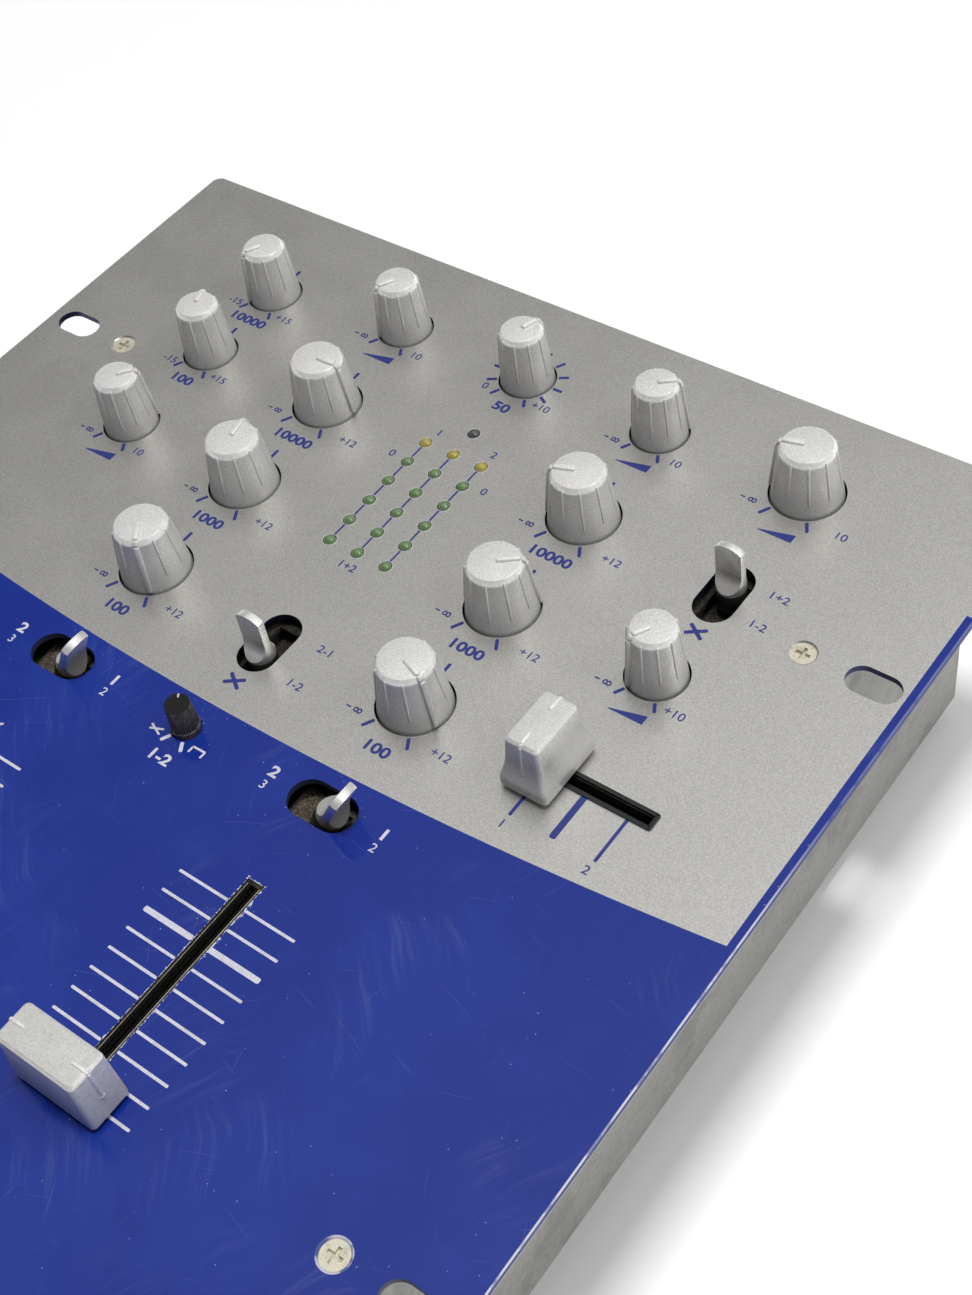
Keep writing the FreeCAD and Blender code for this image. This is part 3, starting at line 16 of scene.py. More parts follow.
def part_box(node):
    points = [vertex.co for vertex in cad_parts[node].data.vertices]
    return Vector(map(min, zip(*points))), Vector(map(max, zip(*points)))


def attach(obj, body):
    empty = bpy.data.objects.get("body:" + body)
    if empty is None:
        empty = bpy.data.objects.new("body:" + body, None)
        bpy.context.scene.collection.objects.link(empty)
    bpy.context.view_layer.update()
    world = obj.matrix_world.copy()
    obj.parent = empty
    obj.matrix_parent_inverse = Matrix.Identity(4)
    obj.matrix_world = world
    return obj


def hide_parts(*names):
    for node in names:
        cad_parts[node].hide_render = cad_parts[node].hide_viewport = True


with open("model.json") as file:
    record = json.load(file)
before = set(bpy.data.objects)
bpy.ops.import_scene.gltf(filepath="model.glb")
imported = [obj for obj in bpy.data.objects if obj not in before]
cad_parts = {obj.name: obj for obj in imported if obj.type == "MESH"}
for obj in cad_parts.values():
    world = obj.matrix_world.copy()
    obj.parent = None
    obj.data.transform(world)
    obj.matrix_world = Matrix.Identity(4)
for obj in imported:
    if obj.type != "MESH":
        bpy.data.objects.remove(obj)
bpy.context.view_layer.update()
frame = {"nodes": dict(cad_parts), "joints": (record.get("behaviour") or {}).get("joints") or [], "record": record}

MM = 0.001
PANEL_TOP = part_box("top_panel")[1].z
joints = {joint["child"]: joint for joint in frame["joints"]}
slots = {part["node"]: part["material_slot"] for part in frame["record"]["subparts"]}

# %% [markdown]
# ## Hands and eyes
# Modelling by hand is a loop of three moves: add a simple shape, pick a few of its faces or edges, and pull
# them. These helpers are those moves. `start` adds a primitive with nothing else selected and puts its
# place into its mesh. `pick` opens edit mode with only the wanted faces, edges or points selected, found by
# their place. Each operator then acts on that selection alone. `bevel`, `pull`, `lift_top`, `hollow` and
# `open_through` pick, work and leave edit mode again.

# %% Helpers for modelling
TINY = 0.01 * MM
LEVEL = 0.99
ROUND_SIDES = 96


def clear_selection():
    if bpy.context.object and bpy.context.object.mode != "OBJECT":
        bpy.ops.object.mode_set(mode="OBJECT")
    bpy.ops.object.select_all(action="DESELECT")


def choose(*pieces):
    """Select these objects alone; the first becomes the active one."""
    clear_selection()
    for piece in pieces:
        piece.select_set(True)
    bpy.context.view_layer.objects.active = pieces[0]


def start(add_primitive, **settings):
    clear_selection()
    add_primitive(**settings)
    piece = bpy.context.object
    bpy.ops.object.transform_apply(location=True, rotation=True, scale=True)
    return piece


def block(size, middle=(0, 0, 0), **settings):
    return start(bpy.ops.mesh.primitive_cube_add, size=1, scale=size, location=middle, **settings)


def rod(radius, depth, middle, sides=ROUND_SIDES, **settings):
    return start(bpy.ops.mesh.primitive_cylinder_add, vertices=sides, radius=radius, depth=depth,
                 location=middle, **settings)


def pick(piece, faces=None, edges=None, points=None):
    """Open edit mode with only the faces, edges or points that pass the test selected."""
    choose(piece)
    mesh = piece.data
    for elements in (mesh.vertices, mesh.edges, mesh.polygons):
        elements.foreach_set("select", [False] * len(elements))
    bpy.context.tool_settings.mesh_select_mode = (points is not None, edges is not None, faces is not None)
    if faces:
        for face in mesh.polygons:
            face.select = faces(face)
    if edges:
        for edge in mesh.edges:
            edge.select = edges(*(mesh.vertices[index].co for index in edge.vertices))
    if points:
        for point in mesh.vertices:
            point.select = points(point.co)
    bpy.ops.object.mode_set(mode="EDIT")


def close():
    bpy.ops.object.mode_set(mode="OBJECT")


def bevel(piece, edges, offset, segments):
    pick(piece, edges=edges)
    bpy.ops.mesh.bevel(offset=offset, segments=segments, affect="EDGES")
    close()


def pull(piece, points, ratio=None, middle=(0, 0, 0), move=None):
    """Scale some points about a middle, or move them, or both."""
    pick(piece, points=points)
    if ratio:
        bpy.ops.transform.resize(value=ratio, center_override=middle)
    if move:
        bpy.ops.transform.translate(value=move)
    close()


def lift(rise):
    """Extrude the picked faces straight up, or down for a negative rise."""
    bpy.ops.mesh.extrude_region_move(TRANSFORM_OT_translate={"value": (0, 0, rise)})


def lift_top(piece, rise, x_ratio, y_ratio=None):
    """Extrude the highest level faces upwards, and scale them about the axis."""
    highest = max(point.co.z for point in piece.data.vertices)
    pick(piece, faces=lambda face: face.normal.z > LEVEL and face.center.z > highest - TINY)
    lift(rise)
    bpy.ops.transform.resize(value=(x_ratio, y_ratio or x_ratio, 1), center_override=(0, 0, highest + rise))
    close()


def hollow(piece, wall, depth):
    """Inset the lowest face and push it up, as the core of a mould does."""
    lowest = min(point.co.z for point in piece.data.vertices)
    pick(piece, faces=lambda face: face.normal.z < -LEVEL and face.center.z < lowest + TINY)
    bpy.ops.mesh.inset(thickness=wall)
    lift(depth)
    close()


def open_through(piece, wall):
    """Inset the top and the bottom, and bridge the two insets to make a hole."""
    pick(piece, faces=lambda face: abs(face.normal.z) > LEVEL)
    bpy.ops.mesh.inset(thickness=wall)
    bpy.ops.mesh.bridge_edge_loops()
    close()


def join(*pieces):
    choose(*pieces)
    if len(pieces) > 1:
        bpy.ops.object.join()
    return pieces[0]


def apply_modifier(piece, kind, **settings):
    choose(piece)
    modifier = piece.modifiers.new(kind.lower(), kind)
    for name, value in settings.items():
        setattr(modifier, name, value)
    bpy.ops.object.modifier_apply(modifier=modifier.name)


def carve(piece, *cutters):
    """Take the cutters' shapes out of the piece."""
    for cutter in cutters:
        apply_modifier(piece, "BOOLEAN", operation="DIFFERENCE", solver="EXACT", object=cutter)
        bpy.data.objects.remove(cutter)


def soften(piece, width, segments=2, angle=40):
    apply_modifier(piece, "BEVEL", width=width, segments=segments, limit_method="ANGLE",
                   angle_limit=math.radians(angle), harden_normals=False)


def settle(piece, spot, turn=(0.0, 0.0, 0.0)):
    """Turn and move a piece, and put its place into its mesh."""
    choose(piece)
    piece.location = spot
    piece.rotation_euler = turn
    bpy.ops.object.transform_apply(location=True, rotation=True, scale=True)
    return piece


def copy_to(master, spot, turn=(0.0, 0.0, 0.0)):
    """A placed copy with its own mesh."""
    piece = master.copy()
    piece.data = master.data.copy()
    bpy.context.collection.objects.link(piece)
    return settle(piece, spot, turn)


def complete(piece, name, slot, body="chassis", stands_for=(), material=None):
    """Name and paint a finished piece, and hang it on its body. Most wear the finish of their slot."""
    piece.name = name
    piece.data.name = name
    piece.data.materials.clear()
    piece.data.materials.append(material or finishes[slot])
    choose(piece)
    bpy.ops.object.shade_smooth_by_angle(angle=math.radians(35))
    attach(piece, body)
    if stands_for:
        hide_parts(*stands_for)
    return piece


def discard(*masters):
    for master in masters:
        bpy.data.objects.remove(master)


# %% [markdown]
# ## Effects that the finishes share
# Paint, metal and plastic on a used mixer have the same small faults: a fine grain, cloudy stains where
# hands have been, hair-thin scratches, specks of dust and edges rubbed bright. Some of the bright edges are
# painted highlights as well: rims and ridges are painted lighter where the light catches them. Each is a
# shader node group, built once and placed in many materials with other values. They read Object
# coordinates, so a pattern stays on its piece.

# %% Helpers for shader nodes
def feed(socket, value):
    """Link a socket to another one, or set it to a value."""
    if isinstance(value, bpy.types.NodeSocket):
        socket.id_data.links.new(value, socket)
    else:
        socket.default_value = value


def wire(node, **inputs):
    """Feed some inputs of a node; an input's name has _ for a space, and its value may be a socket."""
    for name, value in inputs.items():
        feed(node.inputs[name.replace("_", " ")], value)
    return node


def put(tree, kind, settings=None, **inputs):
    """Add a node with its settings, and feed its inputs."""
    node = tree.nodes.new(f"ShaderNode{kind}")
    for name, value in (settings or {}).items():
        setattr(node, name, value)
    return wire(node, **inputs)


def calc(operation, *values, kind="Math"):
    """One step of arithmetic, in the node tree of the first socket among its values."""
    tree = next(value.id_data for value in values if isinstance(value, bpy.types.NodeSocket))
    node = put(tree, kind, {"operation": operation})
    for socket, value in zip(node.inputs, values):
        feed(socket, value)
    return node.outputs["Value" if operation in ("LENGTH", "DOT_PRODUCT") else 0]


def times(first, second):
    return calc("MULTIPLY", first, second)


def minus(first, second):
    return calc("SUBTRACT", first, second)


def most(*values):
    """The largest of several values."""
    largest = values[0]
    for value in values[1:]:
        largest = calc("MAXIMUM", largest, value)
    return largest


def ramp(value, low, high, to_low=0.0, to_high=1.0):
    """The value's way from low to high, as a number from to_low to to_high."""
    node = put(value.id_data, "MapRange", {"interpolation_type": "SMOOTHSTEP"}, Value=value, From_Min=low,
               From_Max=high, To_Min=to_low, To_Max=to_high)
    return node.outputs[0]


def mix(factor, first, second):
    node = put(factor.id_data, "Mix", {"data_type": "RGBA"})
    for place, value in ((0, factor), (6, first), (7, second)):
        feed(node.inputs[place], value)
    return node.outputs[2]


def split(vector):
    """The x, y and z of a vector."""
    return put(vector.id_data, "SeparateXYZ", Vector=vector).outputs


def object_place(tree):
    return put(tree, "TexCoord").outputs["Object"]


def noise(vector, scale, detail=3.0, roughness=0.55):
    node = put(vector.id_data, "TexNoise", Vector=vector, Scale=scale, Detail=detail, Roughness=roughness)
    return node.outputs[0]


def start_group(name, **inputs):
    """A group with some number inputs and one output, a mask."""
    tree = bpy.data.node_groups.new(name, "ShaderNodeTree")
    for label, value in inputs.items():
        socket = tree.interface.new_socket(label, in_out="INPUT", socket_type="NodeSocketFloat")
        socket.default_value = value
    tree.interface.new_socket("Mask", in_out="OUTPUT", socket_type="NodeSocketFloat")
    return tree, tree.nodes.new("NodeGroupInput").outputs, tree.nodes.new("NodeGroupOutput").inputs[0]


def per_size(size_mm):
    """The scale at which a texture's features have this size."""
    return calc("DIVIDE", 1.0 / MM, size_mm)


def use(tree, group, **inputs):
    return put(tree, "Group", {"node_tree": group}, **inputs).outputs[0]


# %% Grain, stains and dust
def build_grain():
    """A fine even grain; Size is in millimetres."""
    tree, given, result = start_group("fine_grain", Size=0.4)
    scale = per_size(given["Size"])
    grain = noise(object_place(tree), scale, 2.0, 0.6)
    feed(result, ramp(grain, 0.3, 0.7))
    return tree


def build_stains():
    """Cloudy patches; Size is in millimetres, and Cover is about the share that they cover."""
    tree, given, result = start_group("cloudy_stains", Size=15.0, Cover=0.5)
    scale = per_size(given["Size"])
    cloud = noise(object_place(tree), scale, 5.0, 0.62)
    edge = minus(0.72, times(given["Cover"], 0.44))
    feed(result, ramp(cloud, minus(edge, 0.08), calc("ADD", edge, 0.08)))
    return tree


def build_specks():
    """Scattered dust; Spacing and Radius are in millimetres."""
    tree, given, result = start_group("dust_specks", Spacing=2.4, Radius=0.15)
    scale = per_size(given["Spacing"])
    cells = put(tree, "TexVoronoi", Vector=object_place(tree), Scale=scale)
    reach = times(cells.outputs["Distance"], given["Spacing"])
    chance = put(tree, "SeparateColor", Color=cells.outputs["Color"]).outputs[0]
    radius = times(chance, given["Radius"])
    mask = ramp(minus(radius, reach), 0.0, 0.03)
    feed(result, mask)
    return tree


GRAIN = build_grain()
STAINS = build_stains()
SPECKS = build_specks()
print("groups", GRAIN.name, STAINS.name, SPECKS.name)

# %% Scratches, and rubbed edges that are partly painted highlights
SCRATCH_DIRECTIONS = (12, 63, 101, 152)
SCRATCH_LENGTH = 22.0
SCRATCH_WIDTH = 0.16


def warp(place, scale, reach):
    """The place, pushed about by a soft noise, so that what is drawn there bends."""
    cloud = put(place.id_data, "TexNoise", Vector=place, Scale=scale).outputs["Color"]
    return calc("MULTIPLY_ADD", cloud, (reach, reach, reach), place, kind="VectorMath")


def drawn_out(place, turn, scale, shift=(0, 0, 0)):
    """The place, turned about Z and then scaled, so that a noise there is drawn out to streaks."""
    turned = put(place.id_data, "Mapping", Vector=place, Rotation=(0, 0, turn)).outputs[0]
    return put(place.id_data, "Mapping", Vector=turned, Scale=scale, Location=shift).outputs[0]


def build_scratches():
    """Hair-thin bent scratches in a few directions, which come and go."""
    tree, given, result = start_group("fine_scratches", Amount=0.5)
    place = warp(object_place(tree), 25.0, 12 * MM)
    edge = minus(0.84, times(given["Amount"], 0.16))
    scale = [1 / (length * MM) for length in (SCRATCH_LENGTH, SCRATCH_WIDTH, SCRATCH_LENGTH)]
    lines = []
    for turn in SCRATCH_DIRECTIONS:
        streaks = noise(drawn_out(place, math.radians(turn), scale, (turn, turn, turn)), 1.0, 1.0)
        lines.append(ramp(streaks, edge, calc("ADD", edge, 0.05)))
    feed(result, most(*lines))
    return tree


def build_rubbing_and_highlights():
    """Bright rubbed edges and painted highlights: where a piece's wear and highlight attribute is high, broken up
    by a fine cloud.
    """
    tree, given, result = start_group("rubbed_and_highlit_edges", Amount=1.0, Size=1.2)
    worn_and_highlit = put(tree, "Attribute", {"attribute_name": "wear_and_highlight"}).outputs["Fac"]
    cloud = noise(object_place(tree), per_size(given["Size"]), 4.0)
    broken = times(worn_and_highlit, ramp(cloud, 0.3, 0.62, 0.35, 1.0))
    feed(result, times(broken, given["Amount"]))
    return tree


def mark_wear_and_highlight(piece, wear_and_highlight_at):
    """Give each point of a piece its wear and painted highlight, from 0 to 1, by its place."""
    attribute = piece.data.attributes.new("wear_and_highlight", "FLOAT", "POINT")
    attribute.data.foreach_set("value", [wear_and_highlight_at(point.co) for point in piece.data.vertices])


SCRATCHES = build_scratches()
RUBBING_AND_HIGHLIGHTS = build_rubbing_and_highlights()
print("groups", SCRATCHES.name, RUBBING_AND_HIGHLIGHTS.name)

# %% [markdown]
# ## The enamelled panel
# The panel is sprayed twice: a metallic silver grey all over, then a glossy royal blue over the front,
# masked along a wide bow that sags towards the operator. A narrow blue stripe runs along the right edge.
# One material on the panel's own node holds both coats: a formula of x and y tells which coat shows, and
# the same mask changes colour, gloss and metal. A hair-thin pale line runs along the outer edges, partly
# bare steel where the coat is rubbed through and partly a painted highlight for the rounded edge. The walls
# of the holes are painted dark blue as painted shade, the slots' rims are chipped, and the screw sinks have
# broken pale rings, partly rubbed coat and partly painted highlight.

# %% Panel enamel
BOW_MIDDLE = 1.1 * MM
BOW_RADIUS = 920 * MM
STRIPE_X = 124.9 * MM
STRIPE_Y = (0.0, 103.5 * MM)
SHARP = 0.12 * MM
PANEL_EDGE = 127.0 * MM
SILVER_DARK, SILVER_LIGHT = (0.585, 0.576, 0.547, 1), (0.805, 0.791, 0.755, 1)
BLUE_DARK, BLUE_LIGHT = (0.0058, 0.0222, 0.216, 1), (0.0085, 0.0290, 0.245, 1)
SILVER_STAIN = (0.45, 0.43, 0.39, 1)
SILVER_SMUDGE = (0.88, 0.87, 0.84, 1)
SILVER_SCRATCH = (0.92, 0.91, 0.88, 1)
DARK_SPECK, PALE_SPECK = (0.10, 0.09, 0.08, 1), (0.45, 0.47, 0.62, 1)
PALE_DUST = (0.55, 0.56, 0.66, 1)
# Painted shade for the walls of the holes: a blue darker than the coat.
HOLE_WALL_PAINTED_SHADE = (0.035, 0.04, 0.10, 1)
# Pale steel for the line along the outer sides, partly bare metal and partly painted highlight.
BARE_STEEL_AND_HIGHLIGHT = (0.62, 0.61, 0.58, 1)
PALE_SCUFF = (0.33, 0.36, 0.56, 1)
# Colour of chips, and of the painted highlights at the edge line and the sink rims.
CHIP_AND_HIGHLIGHT_COLOUR = (0.60, 0.60, 0.66, 1)
SILVER_METAL = 0.85
SCREW_HEAD = 2.9 * MM
SLOT_MARGIN = 7.2 * MM


def start_material(name):
    material = bpy.data.materials.new(name)
    material.use_nodes = True
    tree = material.node_tree
    return material, tree, tree.nodes["Principled BSDF"]


def relief(shader, height, depth_mm, strength=0.5):
    bump = put(height.id_data, "Bump", Height=height, Strength=strength, Distance=depth_mm * MM)
    wire(shader, Normal=bump.outputs[0])


def front_coat(x, y):
    """1 where the blue coat lies, 0 where the silver one shows."""
    bow = calc("MULTIPLY_ADD", times(x, x), 0.5 / BOW_RADIUS, BOW_MIDDLE)
    front = ramp(minus(bow, y), 0.0, SHARP)
    stripe = ramp(x, STRIPE_X, STRIPE_X + SHARP)
    for sign, end in zip((1, -1), STRIPE_Y):
        stripe = times(stripe, ramp(times(y, sign), sign * end, sign * end + SHARP))
    return most(front, stripe)


def chipped_rims(x, y, place):
    """Flakes of chipped enamel beside the channel fader slots, which thin out within a millimetre or two."""
    low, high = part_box("ch1_fader_cap")
    slot_x = -(low.x + high.x) / 2
    travel = joints["ch1_fader"]["range_m"][1]
    slot_y = (low.y + high.y) / 2 + travel / 2
    aside = calc("ABSOLUTE", minus(calc("ABSOLUTE", x), slot_x))
    beyond = minus(y, slot_y + travel / 2 + SLOT_MARGIN)
    over = most(minus(aside, 2.1 * MM), beyond)
    reach = ramp(noise(place, 160.0, 2.0), 0.4, 0.7, 0.4 * MM, 1.5 * MM)
    reach = times(reach, ramp(beyond, -9 * MM, 0.0, 1.0, 2.2))
    edge = calc("MULTIPLY_ADD", calc("DIVIDE", over, reach), 0.40, 0.42)
    flake = noise(place, 1600.0, 5.0, 0.72)
    chip = ramp(minus(flake, edge), 0.0, 0.06)
    chip = times(chip, ramp(over, -0.02 * MM, 0.0))
    return times(chip, ramp(y, slot_y - travel / 2 + 4 * MM, slot_y - travel / 2 + 6 * MM))


def span_from(x, y, spot_x, spot_y):
    """Distance on the panel from one spot."""
    aside, along = minus(x, spot_x), minus(y, spot_y)
    return calc("SQRT", calc("ADD", times(aside, aside), times(along, along)))


def worn_and_highlit_sinks(x, y, place):
    """The rims of the screw sinks: a broken pale ring, partly where a screwdriver has rubbed through the coat,
    partly a painted highlight on the sink's rim.
    """
    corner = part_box("panel_screws")[1]
    across, along = calc("ABSOLUTE", x), calc("ABSOLUTE", y)
    reach = span_from(across, along, corner.x - SCREW_HEAD, corner.y - SCREW_HEAD)
    ring = ramp(reach, SCREW_HEAD + 0.65 * MM, SCREW_HEAD + 0.45 * MM)
    broken = ramp(noise(place, 260.0, 4.0), 0.40, 0.56, 0.15, 1.0)
    return times(ring, broken)


def gathered_dust(x, y, place):
    """Pale dust that gathers on the enamel round the slope knob and the input toggles."""
    near = None
    for body in ("slope_knob", "ch1_input_toggle", "ch2_input_toggle"):
        spot = joints[body]["pos_m"]
        reach = span_from(x, y, spot[0] + 1.5 * MM, spot[1] + 1.0 * MM)
        near = reach if near is None else calc("MINIMUM", near, reach)
    grains = use(place.id_data, SPECKS, Spacing=0.62, Radius=0.14)
    patches = ramp(noise(place, 350.0, 3.0), 0.42, 0.62)
    return times(grains, times(ramp(near, 11 * MM, 4 * MM), patches))


def bare_and_highlit_edge(x, y, place):
    """A hair-thin pale line on the top face along the panel's sides: partly the blue coat rubbed through, partly a
    painted highlight for the rounded edge.
    """
    rim = ramp(calc("ABSOLUTE", x), PANEL_EDGE - 0.5 * MM, PANEL_EDGE - 0.3 * MM)
    broken = ramp(noise(place, 200.0, 4.0), 0.34, 0.50, 0.35, 1.0)
    return times(times(rim, broken), ramp(y, 45 * MM, 5 * MM, 0.25, 1.0))


def scuffs(place):
    """Soft pale smears, in a few patches, where something was dragged across the enamel."""
    bent = warp(place, 30.0, 14 * MM)
    smears = []
    for turn, spread in ((0.75, 24.0), (2.0, 29.0)):
        streak = ramp(noise(drawn_out(bent, turn, (40, 560, 40)), 1.0, 6.0, 0.7), 0.46, 0.80)
        smears.append(times(streak, ramp(noise(place, spread, 2.0), 0.54, 0.70)))
    return most(*smears)


def panel_enamel():
    material, tree, shader = start_material("panel_enamel")
    place = object_place(tree)
    x, y, z = split(place)
    blue = front_coat(x, y)
    grain = use(tree, GRAIN, Size=0.30)
    stain = use(tree, STAINS, Size=45.0, Cover=0.45)
    smudge = use(tree, STAINS, Size=17.0, Cover=0.5)
    speck = use(tree, SPECKS, Spacing=2.3, Radius=0.15)
    scratch = use(tree, SCRATCHES, Amount=0.46)
    scuff = scuffs(place)
    silver = mix(grain, SILVER_DARK, SILVER_LIGHT)
    silver = mix(times(stain, 0.06), silver, SILVER_STAIN)
    silver = mix(times(smudge, 0.05), silver, SILVER_SMUDGE)
    silver = mix(times(scratch, 0.45), silver, SILVER_SCRATCH)
    royal = mix(stain, BLUE_DARK, BLUE_LIGHT)
    royal = mix(times(scratch, 0.22), royal, PALE_SCUFF)
    royal = mix(times(scuff, 0.13), royal, PALE_SCUFF)
    colour = mix(blue, silver, royal)
    speck_colour = mix(blue, DARK_SPECK, PALE_SPECK)
    colour = mix(times(speck, 0.6), colour, speck_colour)
    dust = times(gathered_dust(x, y, place), 0.6)
    colour = mix(dust, colour, PALE_DUST)
    # Real chips beside the slots, and painted highlights along the outer edges and round the screw sinks, in one
    # colour.
    chip = times(most(*(mask(x, y, place) for mask in (chipped_rims, bare_and_highlit_edge, worn_and_highlit_sinks))), blue)
    upward = split(put(tree, "NewGeometry").outputs["Normal"])[2]
    cut_edge = ramp(upward, 0.75, 0.55)
    chip = times(chip, minus(1.0, cut_edge))
    colour = mix(chip, colour, CHIP_AND_HIGHLIGHT_COLOUR)
    outside = ramp(calc("ABSOLUTE", x), PANEL_EDGE - 0.8 * MM, PANEL_EDGE - 0.4 * MM)
    # The outer sides get a pale line on their lower part: bare steel and a painted highlight for the rounded edge.
    bare_line_and_highlight = ramp(z, PANEL_TOP - 1.2 * MM, PANEL_TOP - 1.4 * MM)
    bare_line_and_highlight = times(bare_line_and_highlight, ramp(y, 45 * MM, 5 * MM, 0.35, 0.9))
    outer_colour = mix(bare_line_and_highlight, colour, BARE_STEEL_AND_HIGHLIGHT)
    # Painted shade: the walls of the holes are painted dark blue; the outer sides keep the coat and pale line.
    edge_colour = mix(outside, HOLE_WALL_PAINTED_SHADE, outer_colour)
    colour = mix(cut_edge, colour, edge_colour)
    rough = mix(blue, calc("MULTIPLY_ADD", smudge, 0.03, 0.37), calc("MULTIPLY_ADD", stain, 0.05, 0.15))
    rough = most(rough, times(most(chip, cut_edge, times(scuff, 0.3)), 0.5))
    metal = calc("MULTIPLY_ADD", blue, -SILVER_METAL, SILVER_METAL)
    wire(shader, Base_Color=colour, Roughness=rough, Metallic=metal, Specular_IOR_Level=0.38)
    bumps = mix(blue, grain, times(scratch, -0.6))
    relief(shader, bumps, 0.008, 0.25)
    return material


def paint_node(name, material):
    """A node keeps its mesh and only changes its finish."""
    mesh = frame["nodes"][name].data
    mesh.materials.clear()
    mesh.materials.append(material)


paint_node("top_panel", panel_enamel())
print("panel enamelled, bow radius", BOW_RADIUS, "m")

# %% [markdown]
# ## Plain finishes
# The other nodes are right as they were built and only need a finish: enamelled steel for the tray, tinned
# steel, zinc, moulded plastic, rubber, board and gold. One recipe makes them all from a few numbers: a
# colour that the grain lightens and darkens, stains that change the gloss, and a little relief. Sharing a
# recipe keeps the family look that parts from one workshop have.

# %% The recipe, and one finish for each material slot
def tint(colour, factor):
    return tuple(min(channel * factor, 1.0) for channel in colour) + (1.0,)


def finish(name, colour, rough, metal=0.0, grain_mm=0.4, spread=0.1, stain_mm=9.0, dirt=0.15, depth_mm=0.02,
           rubbed_and_highlight=None, specks=0.0, coat=0.0, shine=0.5, foot=None):
    """A finish from a few numbers; the rubbed colour is that of worn edges and of painted highlights, and foot is
    painted shade that darkens what is low down, near the panel.
    """
    material, tree, shader = start_material(name)
    grain = use(tree, GRAIN, Size=grain_mm)
    stain = use(tree, STAINS, Size=stain_mm, Cover=0.4)
    shade = mix(grain, tint(colour, 1 - spread), tint(colour, 1 + spread))
    shade = mix(times(stain, dirt), shade, tint(colour, 0.45))
    gloss = calc("MULTIPLY_ADD", stain, 0.12, rough)
    # Painted shade: the colour darkens towards the foot of a piece, near the panel.
    if foot:
        level = split(object_place(tree))[2]
        shade = mix(ramp(level, PANEL_TOP + 10 * MM, PANEL_TOP, 0.0, foot), shade, tint(colour, 0.3))
    if rubbed_and_highlight:
        worn_and_highlit = use(tree, RUBBING_AND_HIGHLIGHTS)
        shade = mix(worn_and_highlit, shade, tint(rubbed_and_highlight, 1.0))
        gloss = calc("MULTIPLY_ADD", worn_and_highlit, -0.12, gloss)
    if specks:
        dust = use(tree, SPECKS, Spacing=1.6, Radius=0.12)
        shade = mix(times(dust, specks), shade, (0.20, 0.18, 0.15, 1))
    wire(shader, Base_Color=shade, Roughness=gloss, Metallic=metal, Coat_Weight=coat,
         Specular_IOR_Level=shine)
    relief(shader, grain, depth_mm)
    return material


LENS = dict(rough=0.16, grain_mm=0.3, stain_mm=2.0, dirt=0.1, coat=1.0)
DUSTY = dict(rough=0.9, grain_mm=0.45, stain_mm=3.0, dirt=0.5, depth_mm=0.08)
finishes = {
    "tray_steel": finish("tray_enamel", (0.36, 0.354, 0.335), 0.55, 0.1, 1.6, 0.08, 22.0, 0.32, 0.03,
                         specks=0.6),
    "circuit_board": finish("board_lacquer", (0.03, 0.13, 0.06), 0.35, 0.0, 1.4, 0.2, 12.0, 0.2, coat=0.3),
    "brass": finish("turned_brass", (0.70, 0.52, 0.22), 0.32, 1.0, 0.3, 0.08),
    "zinc_screw": finish("pale_zinc", (0.75, 0.715, 0.575), 0.32, 0.45, 0.25, 0.12, 1.6, 0.35),
    "pot_metal": finish("tinned_steel", (0.56, 0.56, 0.55), 0.34, 1.0, 0.5, 0.08),
    "black_plastic": finish("moulded_black", (0.022, 0.021, 0.020), 0.42, 0.0, 0.25, 0.25, 6.0, 0.1,
                            specks=0.5),
    "foot_rubber": finish("foot_rubber", (0.024, 0.024, 0.024), 0.78, 0.0, 0.35, 0.3, 5.0, 0.1, 0.05),
    "gold_contact": finish("gold_flash", (0.78, 0.57, 0.20), 0.24, 1.0, 0.3, 0.06, 3.0, 0.2),
    "socket_steel": finish("bright_nickel", (0.66, 0.65, 0.63), 0.22, 1.0, 0.4, 0.06, 4.0, 0.15),
    "ribbon_grey": finish("ribbon_jacket", (0.42, 0.42, 0.43), 0.5, 0.0, 0.6, 0.08),
    # The knob paint is darkened low down as painted shade, and lightened on its edges as rubbing and painted
    # highlight.
    "knob_silver": finish("knob_silver_paint", (0.76, 0.752, 0.735), 0.38, 0.34, 0.26, 0.17, 6.0, 0.05, 0.02,
                          rubbed_and_highlight=(0.97, 0.96, 0.94), specks=0.25, foot=0.35),
    "knob_black": finish("knob_black", (0.012, 0.012, 0.013), 0.36, 0.0, 0.2, 0.3, 3.0, 0.1,
                         rubbed_and_highlight=(0.30, 0.29, 0.28), specks=0.3, shine=0.25),
    "lever_chrome": finish("satin_chrome", (0.68, 0.67, 0.65), 0.34, 0.55, 0.2, 0.06, 2.5, 0.12,
                           rubbed_and_highlight=(0.90, 0.89, 0.87)),
    "cap_silver": finish("cap_silver_paint", (0.65, 0.645, 0.626), 0.40, 0.28, 0.25, 0.15, 4.0, 0.09, 0.02,
                         rubbed_and_highlight=(0.93, 0.92, 0.90), specks=0.4),
    "green_lamp": finish("green_lens", (0.125, 0.205, 0.090), **LENS),
    "yellow_lamp": finish("yellow_lens", (0.36, 0.30, 0.060), **LENS),
    "dark_lamp": finish("dark_lens", (0.07, 0.07, 0.08), **LENS),
    "bezel_black": finish("liner_black", (0.014, 0.014, 0.015), 0.30, 0.0, 0.3, 0.3, 4.0, 0.1, specks=0.6),
}
for node_name, slot_name in slots.items():
    if slot_name in finishes:
        paint_node(node_name, finishes[slot_name])
paint_node("toggle_bodies", finish("dusty_floor", (0.085, 0.072, 0.055), spread=0.75, specks=0.8, **DUSTY))
